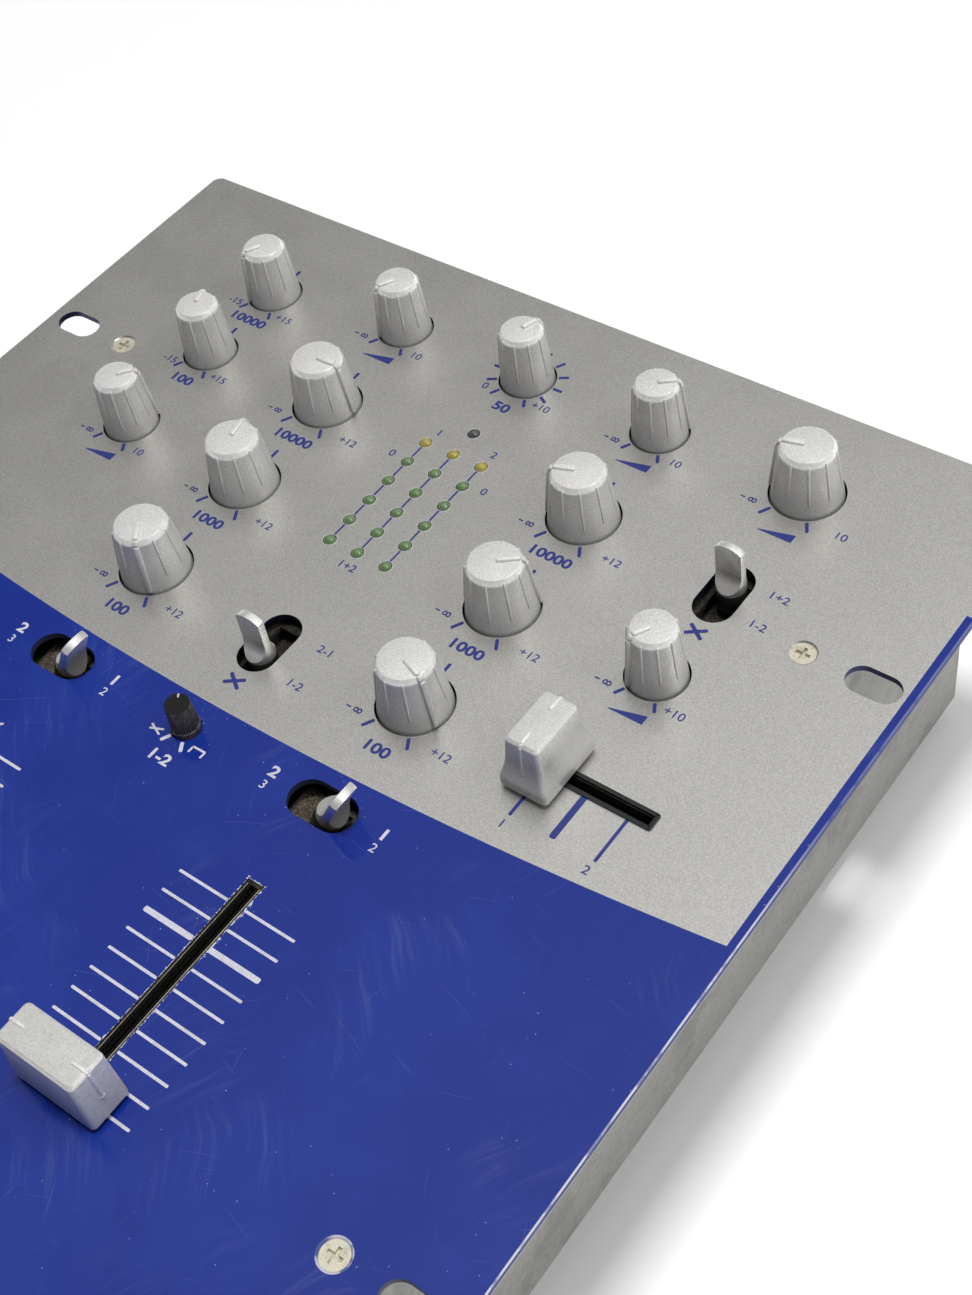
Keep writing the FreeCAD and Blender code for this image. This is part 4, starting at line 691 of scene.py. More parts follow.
# The mode switches' bodies are painted near black: painted shade for the depth of their slots.
paint_node("mode_switch_bodies", finish("painted_shade_floor", (0.030, 0.027, 0.022), spread=0.7, specks=0.5, **DUSTY))
paint_node("fader_bezels", finish("dusty_liner", (0.034, 0.029, 0.023), 0.8, 0.0, 0.5, 0.6, 2.5, 0.6, 0.05,
                                  specks=0.5, shine=0.15))
print("finishes", len(finishes) + 3)

# %% [markdown]
# ## Ribbed knobs
# The tone and level knobs are moulded in plastic and sprayed silver: a hollow cone with a narrow chamfered
# rim, ten thin ribs for the fingers and a half-round pointer that runs from near the middle of the top over
# the rim and down the side. A cone is lifted in two steps to get the chamfer, hollowed from below, and its
# ribs are one bar turned round the axis. Two sizes are modelled, once each, and every hinge gets a copy
# turned as it stands.

# %% Knob parts
KNOB_SIDES = 80
RIBS = 10
KNOB_SINK = 1.0 * MM
CHAMFER = 1.2 * MM
RIB_WIDTH = 0.58 * MM
RUBBED_BAND = 0.5 * MM
LARGE_KNOB = dict(base=8.5 * MM, rim=6.5 * MM, top=5.75 * MM, height=15.0 * MM)
SMALL_KNOB = dict(base=6.85 * MM, rim=5.4 * MM, top=4.7 * MM, height=15.8 * MM)


def ridge(first, last, width, depth, rounding):
    """A bar with softened edges from one point of the XZ plane to another."""
    first, last = Vector(first), Vector(last)
    along = last - first
    tilt = math.atan2(along.x, along.z)
    bar = block((depth, width, along.length), (first + last) / 2, rotation=(0, tilt, 0))
    bevel(bar, lambda a, b: True, rounding, 3)
    return bar


def ridges(corners, width, depth, rounding):
    return [ridge(first, last, width, depth, rounding) for first, last in zip(corners, corners[1:])]


def ring_of(piece, count):
    turns = (2 * math.pi * step / count for step in range(1, count))
    return join(piece, *(copy_to(piece, (0, 0, 0), (0, 0, turn)) for turn in turns))


def knob_cone(base, rim, top, height):
    rim_level = height - CHAMFER
    neck_level = rim_level - RUBBED_BAND
    taper = (base - rim) / rim_level
    neck = base - taper * neck_level
    cone = start(bpy.ops.mesh.primitive_cone_add, vertices=KNOB_SIDES, radius1=base, radius2=neck,
                 depth=neck_level + KNOB_SINK, location=(0, 0, (neck_level - KNOB_SINK) / 2))
    lift_top(cone, RUBBED_BAND, rim / neck)
    lift_top(cone, CHAMFER, top / rim)
    hollow(cone, 1.2 * MM, 0.6 * height)
    bevel(cone, lambda a, b: abs(a.z - b.z) < TINY and a.z > rim_level - TINY, 0.1 * MM, 2)
    # Painted highlight, partly rubbed paint: the chamfer band is painted bright all round.
    mark_wear_and_highlight(cone, lambda point: 0.95 if rim_level - 0.15 * MM < point.z < height - 0.02 * MM else 0.0)
    return cone


def knob_rib(base, rim, top, height):
    """A half-round bar that starts halfway up the chamfer and sinks into the side well above the foot."""
    rim_level = height - CHAMFER
    foot_level = 0.27 * rim_level
    foot = base - (base - rim) * foot_level / rim_level
    head = (rim - 0.30 * (rim - top), 0, rim_level + 0.30 * CHAMFER)
    side = ridge((foot, 0, foot_level), (rim, 0, rim_level), RIB_WIDTH, RIB_WIDTH, 0.24 * MM)
    pull(side, lambda point: point.z < rim_level / 2, move=(-0.2 * MM, 0, 0))
    rib = join(side, ridge((rim, 0, rim_level - 0.2 * MM), head, RIB_WIDTH, RIB_WIDTH, 0.24 * MM))
    mark_wear_and_highlight(rib, lambda point: 0.0)
    return rib


def knob_pointer(base, rim, top, height):
    rim_level = height - CHAMFER
    corners = [(0.5 * MM, 0, height), (top, 0, height), (rim + 0.1 * MM, 0, rim_level + 0.1 * MM),
               (base - 0.15 * MM, 0, 0.7 * MM)]
    pointer = join(*ridges(corners, 1.35 * MM, 1.3 * MM, 0.36 * MM))
    # Painted highlight, partly rubbed paint: the top of the pointer is painted lighter.
    mark_wear_and_highlight(pointer, lambda point: 0.5 if point.z > height + 0.3 * MM else 0.0)
    return pointer


def ribbed_knob(sizes):
    return join(knob_cone(**sizes), ring_of(knob_rib(**sizes), RIBS), knob_pointer(**sizes))


# %% A copy on every hinge
def hinge_spot(body):
    return Vector(joints[body]["pos_m"])


def hinge_turn(body):
    """The way that a pointer stands at rest, clockwise from the back, is the middle of its hinge's range."""
    low, high = joints[body]["range_deg"]
    return math.radians(90 - (low + high) / 2)


large_names = [f"{side}_{tone}" for side in ("ch1", "ch2") for tone in ("treble", "mid", "bass")] + ["master"]
small_names = ["ch1_gain", "ch2_gain", "sub_bass", "cue_gain", "mic_treble", "mic_bass", "mic_gain"]
for names, sizes in ((large_names, LARGE_KNOB), (small_names, SMALL_KNOB)):
    master_knob = ribbed_knob(sizes)
    for name in names:
        body = f"{name}_knob"
        knob = copy_to(master_knob, hinge_spot(body), (0, 0, hinge_turn(body)))
        complete(knob, f"{name}_ribbed_knob", "knob_silver", body, [body])
    discard(master_knob)
print("ribbed knobs", len(large_names) + len(small_names))

# %% [markdown]
# ## The slope knob
# The crossfader's slope is set with a small black trimmer knob: a fluted barrel on a plain collar, with a
# pale line across the top. A cylinder is lifted and narrowed above the collar, and every second strip of
# its wall is pulled in to make the flutes. The pale line is a separate bar, so that it can have its own
# colour.

# %% Slope knob
SLOPE_FLUTES = 36
FLUSH = 0.005 * MM
SLOPE_BASE, SLOPE_BARREL, SLOPE_HEIGHT, SLOPE_COLLAR = 3.35 * MM, 3.2 * MM, 8.4 * MM, 1.4 * MM


def slope_barrel():
    middle = (0, 0, (SLOPE_COLLAR - KNOB_SINK) / 2)
    barrel = rod(SLOPE_BASE, SLOPE_COLLAR + KNOB_SINK, middle, 4 * SLOPE_FLUTES)
    lift_top(barrel, 0.15 * MM, SLOPE_BARREL / SLOPE_BASE)
    lift_top(barrel, SLOPE_HEIGHT - SLOPE_COLLAR - 0.35 * MM, 0.90)
    lift_top(barrel, 0.2 * MM, 0.95)

    def in_flute(point):
        step = math.degrees(math.atan2(point.y, point.x)) % (360 / SLOPE_FLUTES)
        return SLOPE_COLLAR + 0.1 * MM < point.z < SLOPE_HEIGHT - 0.1 * MM and step < 180 / SLOPE_FLUTES - 0.1

    pull(barrel, in_flute, (0.94, 0.94, 1), (0, 0, SLOPE_HEIGHT))
    hollow(barrel, 1.0 * MM, 5.0 * MM)
    rims = (SLOPE_COLLAR, SLOPE_HEIGHT - 0.2 * MM)

    # Painted highlights: the two rims and the ridges between the flutes are painted lighter, where the light
    # catches them.
    def wear_and_highlight_at(point):
        if min(abs(point.z - level) for level in rims) < 0.02 * MM:
            return 0.4
        on_wall = SLOPE_COLLAR < point.z < SLOPE_HEIGHT - 0.1 * MM
        return 0.3 if on_wall and not in_flute(point) else 0.0

    mark_wear_and_highlight(barrel, wear_and_highlight_at)
    return barrel


LINE_WIDTH = 0.4 * MM
barrel = slope_barrel()
pointer_line = join(
    ridge((1.6 * MM, 0, SLOPE_HEIGHT), (2.65 * MM, 0, SLOPE_HEIGHT), LINE_WIDTH, 0.2 * MM, 0.06 * MM),
    ridge((2.86 * MM, 0, SLOPE_HEIGHT - 0.4 * MM), (3.1 * MM, 0, 2.4 * MM), LINE_WIDTH, 0.3 * MM, 0.08 * MM))
pale_paint = finish("pale_line_paint", (0.55, 0.55, 0.54), 0.5, 0.0, 0.2, 0.06, 2.0, 0.2)
body, spot, turn = "slope_knob", hinge_spot("slope_knob"), (0, 0, hinge_turn("slope_knob"))
complete(settle(barrel, spot, turn), "slope_fluted_knob", "knob_black", body, [body])
complete(settle(pointer_line, spot, turn), "slope_pointer_line", "knob_black", body, material=pale_paint)


def hole_ring(inner, outer, depth):
    """A flat enamelled ring, flush with the panel, that closes the gap round the knob's foot."""
    ring = rod(outer, depth, (0, 0, -depth / 2))
    open_through(ring, outer - inner)
    return ring


enamel = frame["nodes"]["top_panel"].data.materials[0]
ring = hole_ring(3.5 * MM, 4.42 * MM, 1.0 * MM)
settle(ring, (spot.x, spot.y, PANEL_TOP + FLUSH))
complete(ring, "slope_hole_ring", "panel_finish", material=enamel)
print("slope knob with", SLOPE_FLUTES, "flutes, and a ring round its foot")

# %% [markdown]
# ## Paddle levers
# Two toggles choose each channel's input, and two sliding levers choose a mode. All four have the same
# lever: a round stem that thins through hollow flanks to a flat paddle with an arched top. A cylinder is
# carved by two rods for the hollow flanks and by two blocks above them, and an arch takes the corners off
# its top. Booleans suit this shape, because the real lever is turned and then milled in the same way. A
# black sleeve closes the stem below.

# %% Lever
LEVER_RADIUS, LEVER_LENGTH, LEVER_BLADE = 3.4 * MM, 18.0 * MM, 1.8 * MM
FLANK_RADIUS, FLANK_LEVEL = 6.0 * MM, 10.4 * MM
SLEEVE_HEIGHT = 5.0 * MM
ARCH_RADIUS = 5.6 * MM
CUT = 20 * MM


def lever_cutters():
    for side in (-1, 1):
        middle = side * (LEVER_BLADE / 2 + FLANK_RADIUS)
        yield rod(FLANK_RADIUS, CUT, (middle, 0, FLANK_LEVEL), rotation=(math.pi / 2, 0, 0))
        yield block((2 * FLANK_RADIUS, CUT, CUT), (middle, 0, FLANK_LEVEL + CUT / 2))
    arch = block((CUT, CUT, 2 * ARCH_RADIUS), (0, 0, LEVER_LENGTH))
    middle = LEVER_LENGTH - ARCH_RADIUS
    carve(arch, rod(ARCH_RADIUS, 1.5 * CUT, (0, 0, middle), rotation=(0, math.pi / 2, 0)),
          block((1.5 * CUT, 2 * ARCH_RADIUS, ARCH_RADIUS), (0, 0, middle - ARCH_RADIUS / 2)))
    yield arch


def paddle_lever():
    stem = rod(LEVER_RADIUS, LEVER_LENGTH, (0, 0, LEVER_LENGTH / 2))
    carve(stem, *lever_cutters())
    soften(stem, 0.22 * MM, 3)
    # Painted highlight, partly rubbed metal: the arched top of the paddle is painted lighter.
    mark_wear_and_highlight(stem, lambda point: 0.9 if point.z > LEVER_LENGTH - 1.6 * MM else 0.0)
    return stem


def lever_sleeve():
    """A tube round the stem, with its upper edge rounded off."""
    tube = rod(LEVER_RADIUS + 0.06 * MM, SLEEVE_HEIGHT, (0, 0, SLEEVE_HEIGHT / 2))
    open_through(tube, 0.5 * MM)
    soften(tube, 0.2 * MM, 2, 60)
    return tube


def place_lever(body, spot, turn):
    complete(copy_to(lever_master, spot, turn), f"{body}_paddle", "lever_chrome", body, [body])
    complete(copy_to(sleeve_master, spot, turn), f"{body}_sleeve", "black_plastic", body)


lever_master = paddle_lever()
sleeve_master = lever_sleeve()
for channel in ("ch1", "ch2"):
    body = f"{channel}_input_toggle"
    tilt = math.radians(-joints[body]["range_deg"][0] / 2)
    place_lever(body, hinge_spot(body), (0, tilt, 0))
for body in ("crossfade_mode_lever", "cue_mode_lever"):
    low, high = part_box(body)
    middle = (low + high) / 2
    place_lever(body, Vector((middle.x, middle.y, high.z - LEVER_LENGTH)), (0, 0, math.pi / 2))
discard(lever_master, sleeve_master)
print("paddle levers", 4)

# %% [markdown]
# ## Fader caps
# A cap is what the finger pushes. The channel caps are tapered blocks with rounded corners and a bevelled
# top; the headphone cap is flared to a rim at its foot. Both have a fine sighting ridge at each end that
# runs over the edge and down the end face. A block is lifted through the cap's levels, its upright edges
# are bevelled round, and the top edge is bevelled again; the ridges are bars joined on.

# %% Cap parts
CAP_HEIGHT = 14.4 * MM
CAP_BEVEL = 0.6 * MM
CAP_CORNER = 1.15 * MM
LINE_CAP = [(0.0, 9.8 * MM, 21.6 * MM), (CAP_HEIGHT - CAP_BEVEL, 9.0 * MM, 20.4 * MM)]
CUE_CAP = [(0.0, 11.8 * MM, 18.0 * MM), (2.2 * MM, 11.8 * MM, 18.0 * MM), (6.4 * MM, 9.42 * MM, 15.48 * MM),
           (CAP_HEIGHT - CAP_BEVEL, 8.4 * MM, 14.4 * MM)]


def cap_block(levels):
    """A block lifted through its levels, with rounded corners and softened rims."""
    (_, width, length), (rise, next_width, next_length) = levels[:2]
    cap = block((width, length, rise), (0, 0, rise / 2))
    pull(cap, lambda point: point.z > rise / 2, (next_width / width, next_length / length, 1), (0, 0, rise))
    for (below, low_width, low_length), (above, high_width, high_length) in zip(levels[1:], levels[2:]):
        lift_top(cap, above - below, high_width / low_width, high_length / low_length)
    bevel(cap, lambda a, b: abs(a.z - b.z) > TINY, CAP_CORNER, 6)
    return cap


def round_level(cap, level, offset, segments):
    """Round the ring of edges that lies at one level."""
    bevel(cap, lambda a, b: abs(a.z - level) < TINY and abs(b.z - level) < TINY, offset, segments)


def sighting_ridges(levels):
    """A fine ridge at each end of the top that turns over the edge and ends in a small bead."""
    _, _, foot_length = levels[-2]
    top_level, _, top_length = levels[-1]
    top = top_level + CAP_BEVEL
    end = top_length / 2
    low_level = top_level * 0.42
    slope_per_metre = (foot_length - top_length) / 2 / (top_level - levels[-2][0])
    low_end = end + slope_per_metre * (top_level - low_level)
    corners = [(end - 4.0 * MM, 0, top), (end - CAP_BEVEL, 0, top), (end, 0, top_level),
               (low_end, 0, low_level)]
    bars = ridges(corners, 0.75 * MM, 0.6 * MM, 0.22 * MM)
    bead = start(bpy.ops.mesh.primitive_uv_sphere_add, segments=16, ring_count=8, radius=0.62 * MM,
                 location=(low_end, 0, low_level))
    pull(bead, lambda point: True, (0.6, 1, 1), (low_end, 0, low_level))
    one_end = join(*bars, bead)
    # Painted highlight, partly rubbed paint: the ridges and their beads are painted light all over.
    mark_wear_and_highlight(one_end, lambda point: 0.9)
    ends = [copy_to(one_end, (0, 0, 0), (0, 0, turn)) for turn in (math.pi / 2, -math.pi / 2)]
    discard(one_end)
    return ends


def fader_cap(levels, waist=()):
    cap = cap_block(levels)
    top_level, top_width, top_length = levels[-1]
    lift_top(cap, CAP_BEVEL, 1 - 2 * CAP_BEVEL / top_width, 1 - 2 * CAP_BEVEL / top_length)
    for level, offset, segments in ((CAP_HEIGHT, 0.15 * MM, 2), (top_level, 0.15 * MM, 2), *waist):
        round_level(cap, level, offset, segments)
    hollow(cap, 1.3 * MM, 3.0 * MM)
    # Painted highlight, partly rubbed paint: the bevelled band round the top is painted lighter.
    mark_wear_and_highlight(cap, lambda point: 0.7 if top_level - 0.3 * MM < point.z < CAP_HEIGHT - 0.1 * MM else 0.0)
    return join(cap, *sighting_ridges(levels))


def cap_spot(body):
    low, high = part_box(f"{body}_cap")
    middle = (low + high) / 2
    return Vector((middle.x, middle.y, low.z))


line_master = fader_cap(LINE_CAP)
cue_master = fader_cap(CUE_CAP, ((2.2 * MM, 0.7 * MM, 5), (6.4 * MM, 2.0 * MM, 5)))
for body, master, turn in (("ch1_fader", line_master, math.pi / 2), ("ch2_fader", line_master, math.pi / 2),
                           ("crossfader", line_master, 0.0), ("cue_fader", cue_master, 0.0)):
    cap = copy_to(master, cap_spot(body), (0, 0, turn))
    complete(cap, f"{body}_moulded_cap", "cap_silver", body, [f"{body}_cap"])
discard(line_master, cue_master)
print("fader caps", 4)

# %% [markdown]
# ## Fader slots
# Two strips of black felt keep dust out of each long slot, and the cap's tang runs in the gap between them.
# A thin worn edge of brass holds each strip. The headphone slot has a moulded frame instead, which stands a
# little above the panel. The strips are bars with their long edges rounded off; the frame is a block whose
# top and bottom are inset and bridged, which opens it, and whose rims are then bevelled.

# %% Felt, brass and the cue frame
FELT_LENGTH = 57.6 * MM
felt_finish = finish("slot_felt", (0.006, 0.006, 0.006), 0.95, 0.0, 0.35, 0.7, 3.0, 0.2, 0.08, specks=0.3,
                     shine=0.1)
brass_finish = finish("worn_brass_edge", (0.62, 0.57, 0.46), 0.36, 0.5, 0.3, 0.2, 2.0, 0.4)


def strip(aside, width, low, high):
    """A bar along Y, beside the middle of its slot, between two levels under the panel's top."""
    middle = (low + high) / 2
    bar = block((width, FELT_LENGTH, high - low), (aside, 0, middle))
    rounding = 0.25 * min(width, high - low)
    bevel(bar, lambda a, b: abs(a.y - b.y) > FELT_LENGTH / 2 and a.z > middle, rounding, 2)
    return bar


def slot_middle(body):
    """The middle of a fader's slot, at the panel's top."""
    spot = cap_spot(body)
    way = sum(joints[body]["range_m"]) / 2 * Vector(joints[body]["axis"])
    return Vector((spot.x + way.x, spot.y + way.y, PANEL_TOP))


felt_master = join(*(strip(side * 1.09 * MM, 0.82 * MM, -0.75 * MM, -0.22 * MM) for side in (-1, 1)))
brass_master = join(strip(-1.54 * MM, 0.08 * MM, -0.34 * MM, -0.16 * MM),
                    strip(1.57 * MM, 0.14 * MM, -0.34 * MM, -0.14 * MM))
for body, turn in (("ch1_fader", 0.0), ("ch2_fader", 0.0), ("crossfader", math.pi / 2)):
    for master, ending, slot, material in ((felt_master, "felt", "bezel_black", felt_finish),
                                           (brass_master, "felt_edges", "brass", brass_finish)):
        lining = copy_to(master, slot_middle(body), (0, 0, turn))
        complete(lining, f"{body}_{ending}", slot, material=material)
discard(felt_master, brass_master)


def slot_frame(length, width, rise, wall):
    """A block with rounded corners, opened through its middle, with both rims of its top bevelled."""
    rim = block((length, width, rise), (0, 0, rise / 2))
    bevel(rim, lambda a, b: abs(a.z - b.z) > TINY, 0.6 * MM, 4)
    open_through(rim, wall)
    soften(rim, 0.16 * MM, 3, 60)
    return rim


cue_frame = slot_frame(31.4 * MM, 4.4 * MM, 0.45 * MM, 0.95 * MM)
complete(settle(cue_frame, slot_middle("cue_fader")), "cue_slot_frame", "bezel_black")

# %% [markdown]
# The panel's own slots end a little beyond the caps. On the real mixer the near end of a channel slot is
# shorter: it stays under the cap. A small enamelled plate, flush with the panel, closes that end. It is a
# block with its upper edges hardly broken, and it wears the panel's own finish, so that the coat runs on
# without a seam.

# %% Near ends of the channel slots
PLATE_LENGTH, PLATE_WIDTH, PLATE_DEPTH = 2.7 * MM, 4.24 * MM, 1.2 * MM


def end_plate(spot):
    plate = block((PLATE_WIDTH, PLATE_LENGTH, PLATE_DEPTH),
                  spot + Vector((0, PLATE_LENGTH / 2 - SLOT_MARGIN, -PLATE_DEPTH / 2)))
    inner = spot.y - SLOT_MARGIN + TINY
    bevel(plate, lambda a, b: min(a.y, b.y) > inner and min(a.z, b.z) > spot.z - TINY, 0.1 * MM, 2)
    return plate


for body in ("ch1_fader", "ch2_fader"):
    spot = cap_spot(body)
    plate = end_plate(Vector((spot.x, spot.y, PANEL_TOP + FLUSH)))
    complete(plate, f"{body}_slot_end", "panel_finish", material=enamel)
print("fader slots dressed", 4)

# %% [markdown]
# ## Level lamps
# The meter has three columns of 3 mm lamps, green below and one yellow at the top, and a dark power lamp
# stands above them. A lamp is a moulded bullet: the lower half of a sphere is pulled down to make its
# barrel. One bullet is made, copied to every place on the meter's grid and joined by colour, so that each
# colour is one piece like its node.

# %% Lamps
LAMP_RADIUS = 1.62 * MM
FLANGE_RADIUS = 1.9 * MM


def lamp_bullet():
    bullet = start(bpy.ops.mesh.primitive_uv_sphere_add, segments=24, ring_count=12, radius=LAMP_RADIUS)
    pull(bullet, lambda point: point.z < -TINY, (1, 1, 0.02), move=(0, 0, -3.0 * MM))
    return bullet


def lamp_places(node, columns, rows):
    """The grid of lamps in a node's box: the flange at a lamp's foot sets the box."""
    low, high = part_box(node)
    margin = FLANGE_RADIUS
    for column in range(columns):
        for row in range(rows):
            across = column / (columns - 1) if columns > 1 else 0.5
            along = row / (rows - 1) if rows > 1 else 0.5
            yield Vector((low.x + margin + across * (high.x - low.x - 2 * margin),
                          low.y + margin + along * (high.y - low.y - 2 * margin), high.z - LAMP_RADIUS))


def hole_rim():
    """A thin pale ring round a lamp hole, a painted highlight for the hole's edge: the upper half of a torus, with
    its foot sunk in the panel.
    """
    ring = start(bpy.ops.mesh.primitive_torus_add, major_segments=32, minor_segments=8,
                 major_radius=1.71 * MM, minor_radius=0.07 * MM)
    pull(ring, lambda point: point.z < -TINY, (1, 1, 0.2))
    return ring


rims = []
lamp_master, rim_master = lamp_bullet(), hole_rim()
for node_name, columns, rows in (("green_leds", 3, 5), ("yellow_leds", 3, 1), ("power_led", 1, 1)):
    spots = list(lamp_places(node_name, columns, rows))
    lamps = join(*(copy_to(lamp_master, spot) for spot in spots))
    complete(lamps, node_name.replace("led", "lamp"), slots[node_name], "chassis", [node_name])
    rims += [copy_to(rim_master, (spot.x, spot.y, PANEL_TOP)) for spot in spots]
discard(lamp_master, rim_master)
# Painted highlight: the rings are pale, to stand for the light caught by the edges of the lamp holes.
rim_highlight_finish = finish("pale_rim_highlight", (0.78, 0.77, 0.75), 0.45, 0.3, 0.2, 0.1)
complete(join(*rims), "lamp_hole_rims", "panel_finish", material=rim_highlight_finish)
print("lamps and rims", len(rims))

# %% [markdown]
# ## Print on the panel
# Scales and signs are screen printed: blue on the silver coat and a pale lavender on the blue one. Ink has
# almost no thickness, so each mark is a bar a few hundredths of a millimetre high that lies on the enamel.
# The marks round a knob are one bar turned about its hinge. Numbers and simple signs say which way a
# control goes.

# %% Inks and marks
INK_HEIGHT = 0.04 * MM
blue_ink = finish("blue_ink", (0.024, 0.034, 0.190), 0.4, 0.0, 0.3, 0.1, 3.0, 0.1, 0.004)
pale_ink = finish("pale_ink", (0.58, 0.58, 0.66), 0.45, 0.0, 0.3, 0.1, 3.0, 0.2, 0.004)


def mark(spot, length, width, turn=0.0):
    """A printed bar, its length along X before it is turned about Z."""
    bar = block((length, width, INK_HEIGHT), (0, 0, INK_HEIGHT / 2))
    bevel(bar, lambda a, b: abs(a.z - b.z) > TINY, 0.3 * width, 2)
    return settle(bar, (spot[0], spot[1], PANEL_TOP), (0, 0, turn))


def lift_ink(bar, over):
    """Raise the upper one of two crossing bars by a hair, so that their faces do not coincide."""
    pull(bar, lambda point: over > 0, move=(0, 0, 0.3 * INK_HEIGHT))


def dial_marks(name, turns, inner, outer):
    """Short radial marks at some turns, clockwise from the back."""
    middle = hinge_spot(f"{name}_knob")
    for turn in turns:
        way = math.radians(90 - turn)
        reach = (inner + outer) / 2
        spot = (middle.x + reach * math.cos(way), middle.y + reach * math.sin(way))
        yield mark(spot, outer - inner, 0.8 * MM, way)


centred = [name for name in large_names if name != "master"] + ["mic_treble", "mic_bass"]
blue_marks = []
for name in large_names + small_names:
    turns = [-150, 150] + ([0] if name in centred else [])
    if name == "sub_bass":
        turns = range(-150, 151, 30)
    inner, outer = (9.3 * MM, 12.4 * MM) if name in large_names else (7.6 * MM, 10.2 * MM)
    blue_marks += dial_marks(name, turns, inner, outer)
print("dial marks", len(blue_marks))

# %% Meter lines and fader scales
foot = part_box("green_leds")[0].y + FLANGE_RADIUS
top_row = (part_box("yellow_leds")[0].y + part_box("yellow_leds")[1].y) / 2
for spot in lamp_places("green_leds", 3, 1):
    blue_marks.append(mark((spot.x, (foot + top_row) / 2), top_row - foot, 0.45 * MM, math.pi / 2))

LINE_STEPS = 9
LINE_THICK_STEP = 2
SCALE_TOP, SCALE_LENGTH = 46.0 * MM, 46.85 * MM
pale_marks = []
for body in ("ch1_fader", "ch2_fader"):
    spot = cap_spot(body)
    for step in range(LINE_STEPS + 1):
        level = spot.y + SCALE_TOP - step * SCALE_LENGTH / LINE_STEPS
        width = 1.3 * MM if step == LINE_THICK_STEP else 0.65 * MM
        for side in (-1, 1):
            pale_marks.append(mark((spot.x + side * 8.9 * MM, level), 13.2 * MM, width))

cue_spot = cap_spot("cue_fader")
for step in range(3):
    width = 1.5 * MM if step == 1 else 0.75 * MM
    spot = (cue_spot.x + step * 10.4 * MM, cue_spot.y - 7.8 * MM)
    blue_marks.append(mark(spot, 11.8 * MM, width, math.pi / 2))
print("pale marks", len(pale_marks), "blue marks", len(blue_marks))

# %% [markdown]
# ## Numbers and signs
# The numbers at the ends of a dial say how far it goes; the bold sign below it says what it does: a rising
# wedge for a level, and the pitch in cycles per second for a tone. Text starts as a text object, gets a
# little extrusion and becomes a mesh before it is moved to its place. An endless fall is an eight laid on
# its side after a minus sign.

# %% Text and wedges
TEXT_SIZE = 3.0 * MM
NAME_SIZE = 3.8 * MM
NAME_STRETCH = 1.22


def number(text, spot, size=TEXT_SIZE, weight=0.004, turn=0.0, stretch=1.08):
    """Printed text; a heavier weight swells its strokes, and a stretch widens it."""
    clear_selection()
    bpy.ops.object.text_add()
    label = bpy.context.object
    label.data.body = text
    label.data.size = size
    label.data.extrude = INK_HEIGHT / 2
    label.data.offset = weight * size
    label.data.align_x = "CENTER"
    label.data.align_y = "CENTER"
    bpy.ops.object.convert(target="MESH")
    label.scale = (stretch, 1, 1)
    return settle(label, (spot[0], spot[1], PANEL_TOP + INK_HEIGHT / 2), (0, 0, turn))


def name_sign(text, spot):
    return number(text, spot, NAME_SIZE, 0.03, stretch=NAME_STRETCH)


def endless(spot):
    """A minus sign and an eight laid on its side."""
    yield mark((spot[0] - 2.6 * MM, spot[1]), 1.2 * MM, 0.35 * MM)
    yield number("8", spot, TEXT_SIZE, turn=math.pi / 2)


def wedge(spot, length=8.5 * MM, height=2.4 * MM):
    """A rising wedge: a flat block whose left end is squeezed to a point."""
    flat = block((length, height, INK_HEIGHT), (spot[0], spot[1], PANEL_TOP + INK_HEIGHT / 2))
    pull(flat, lambda point: point.x < spot[0], (1, 0.08, 1), (spot[0], spot[1] - height / 2, PANEL_TOP))
    return flat


pitches = {"treble": "10000", "mid": "1000", "bass": "100"}
large_offsets = ((-9.3, -8.0), (13.2, -8.2), (0.4, -13.9))
small_offsets = ((-7.7, -7.2), (8.8, -7.0), (0.3, -11.5))
low_ends = {"mic_treble": "-15", "mic_bass": "-15", "sub_bass": "0"}
high_ends = {"mic_treble": "+15", "mic_bass": "+15", "sub_bass": "+10", "cue_gain": "+10"}
blue_signs = []
for name in large_names + small_names:
    middle = hinge_spot(f"{name}_knob")
    offsets = large_offsets if name in large_names else small_offsets
    low_spot, high_spot, name_spot = [(middle.x + x * MM, middle.y + y * MM) for x, y in offsets]
    tone = name.split("_")[-1]
    blue_signs += [number(low_ends[name], low_spot)] if name in low_ends else endless(low_spot)
    blue_signs.append(number(high_ends.get(name, "+12" if tone in pitches else "10"), high_spot))
    if name == "sub_bass":
        blue_signs.append(name_sign("50", name_spot))
    elif tone in pitches:
        blue_signs.append(name_sign(pitches[tone], name_spot))
    else:
        blue_signs.append(wedge(name_spot))
print("blue signs", len(blue_signs))

# %% Labels of levers, meter and faders
blue_labels = {"2-1": ((12.6, 25.1),), "1-2": ((12.7, 14.4), (89.1, 78.8)),
               "1+2": ((89.0, 87.8), (0.5, 47.1)), "1": ((-7.4, 92.0), (72.5, 9.3)),
               "2": ((8.7, 92.3), (93.1, 9.2)), "0": ((-13.3, 81.0), (13.8, 81.5))}
for text, spots in blue_labels.items():
    blue_signs += [number(text, (x * MM, y * MM)) for x, y in spots]
for x, y in ((0.4, 8.4), (78.7, 71.0)):
    for turn in (0.6, -0.6):
        blue_signs.append(mark((x * MM, y * MM), 5.2 * MM, 0.9 * MM, turn))
        lift_ink(blue_signs[-1], turn)

pale_signs = [name_sign("1-2", (0.2 * MM, -15.7 * MM))]
for side in (-1, 1):
    for x, heavy, light in ((-14.2, "2", "3"), (15.5, "1", "2")):
        pale_signs.append(name_sign(heavy, (side * 38.5 * MM + x * MM, -5.6 * MM)))
        pale_signs.append(number(light, (side * 38.5 * MM + x * MM, -9.2 * MM)))

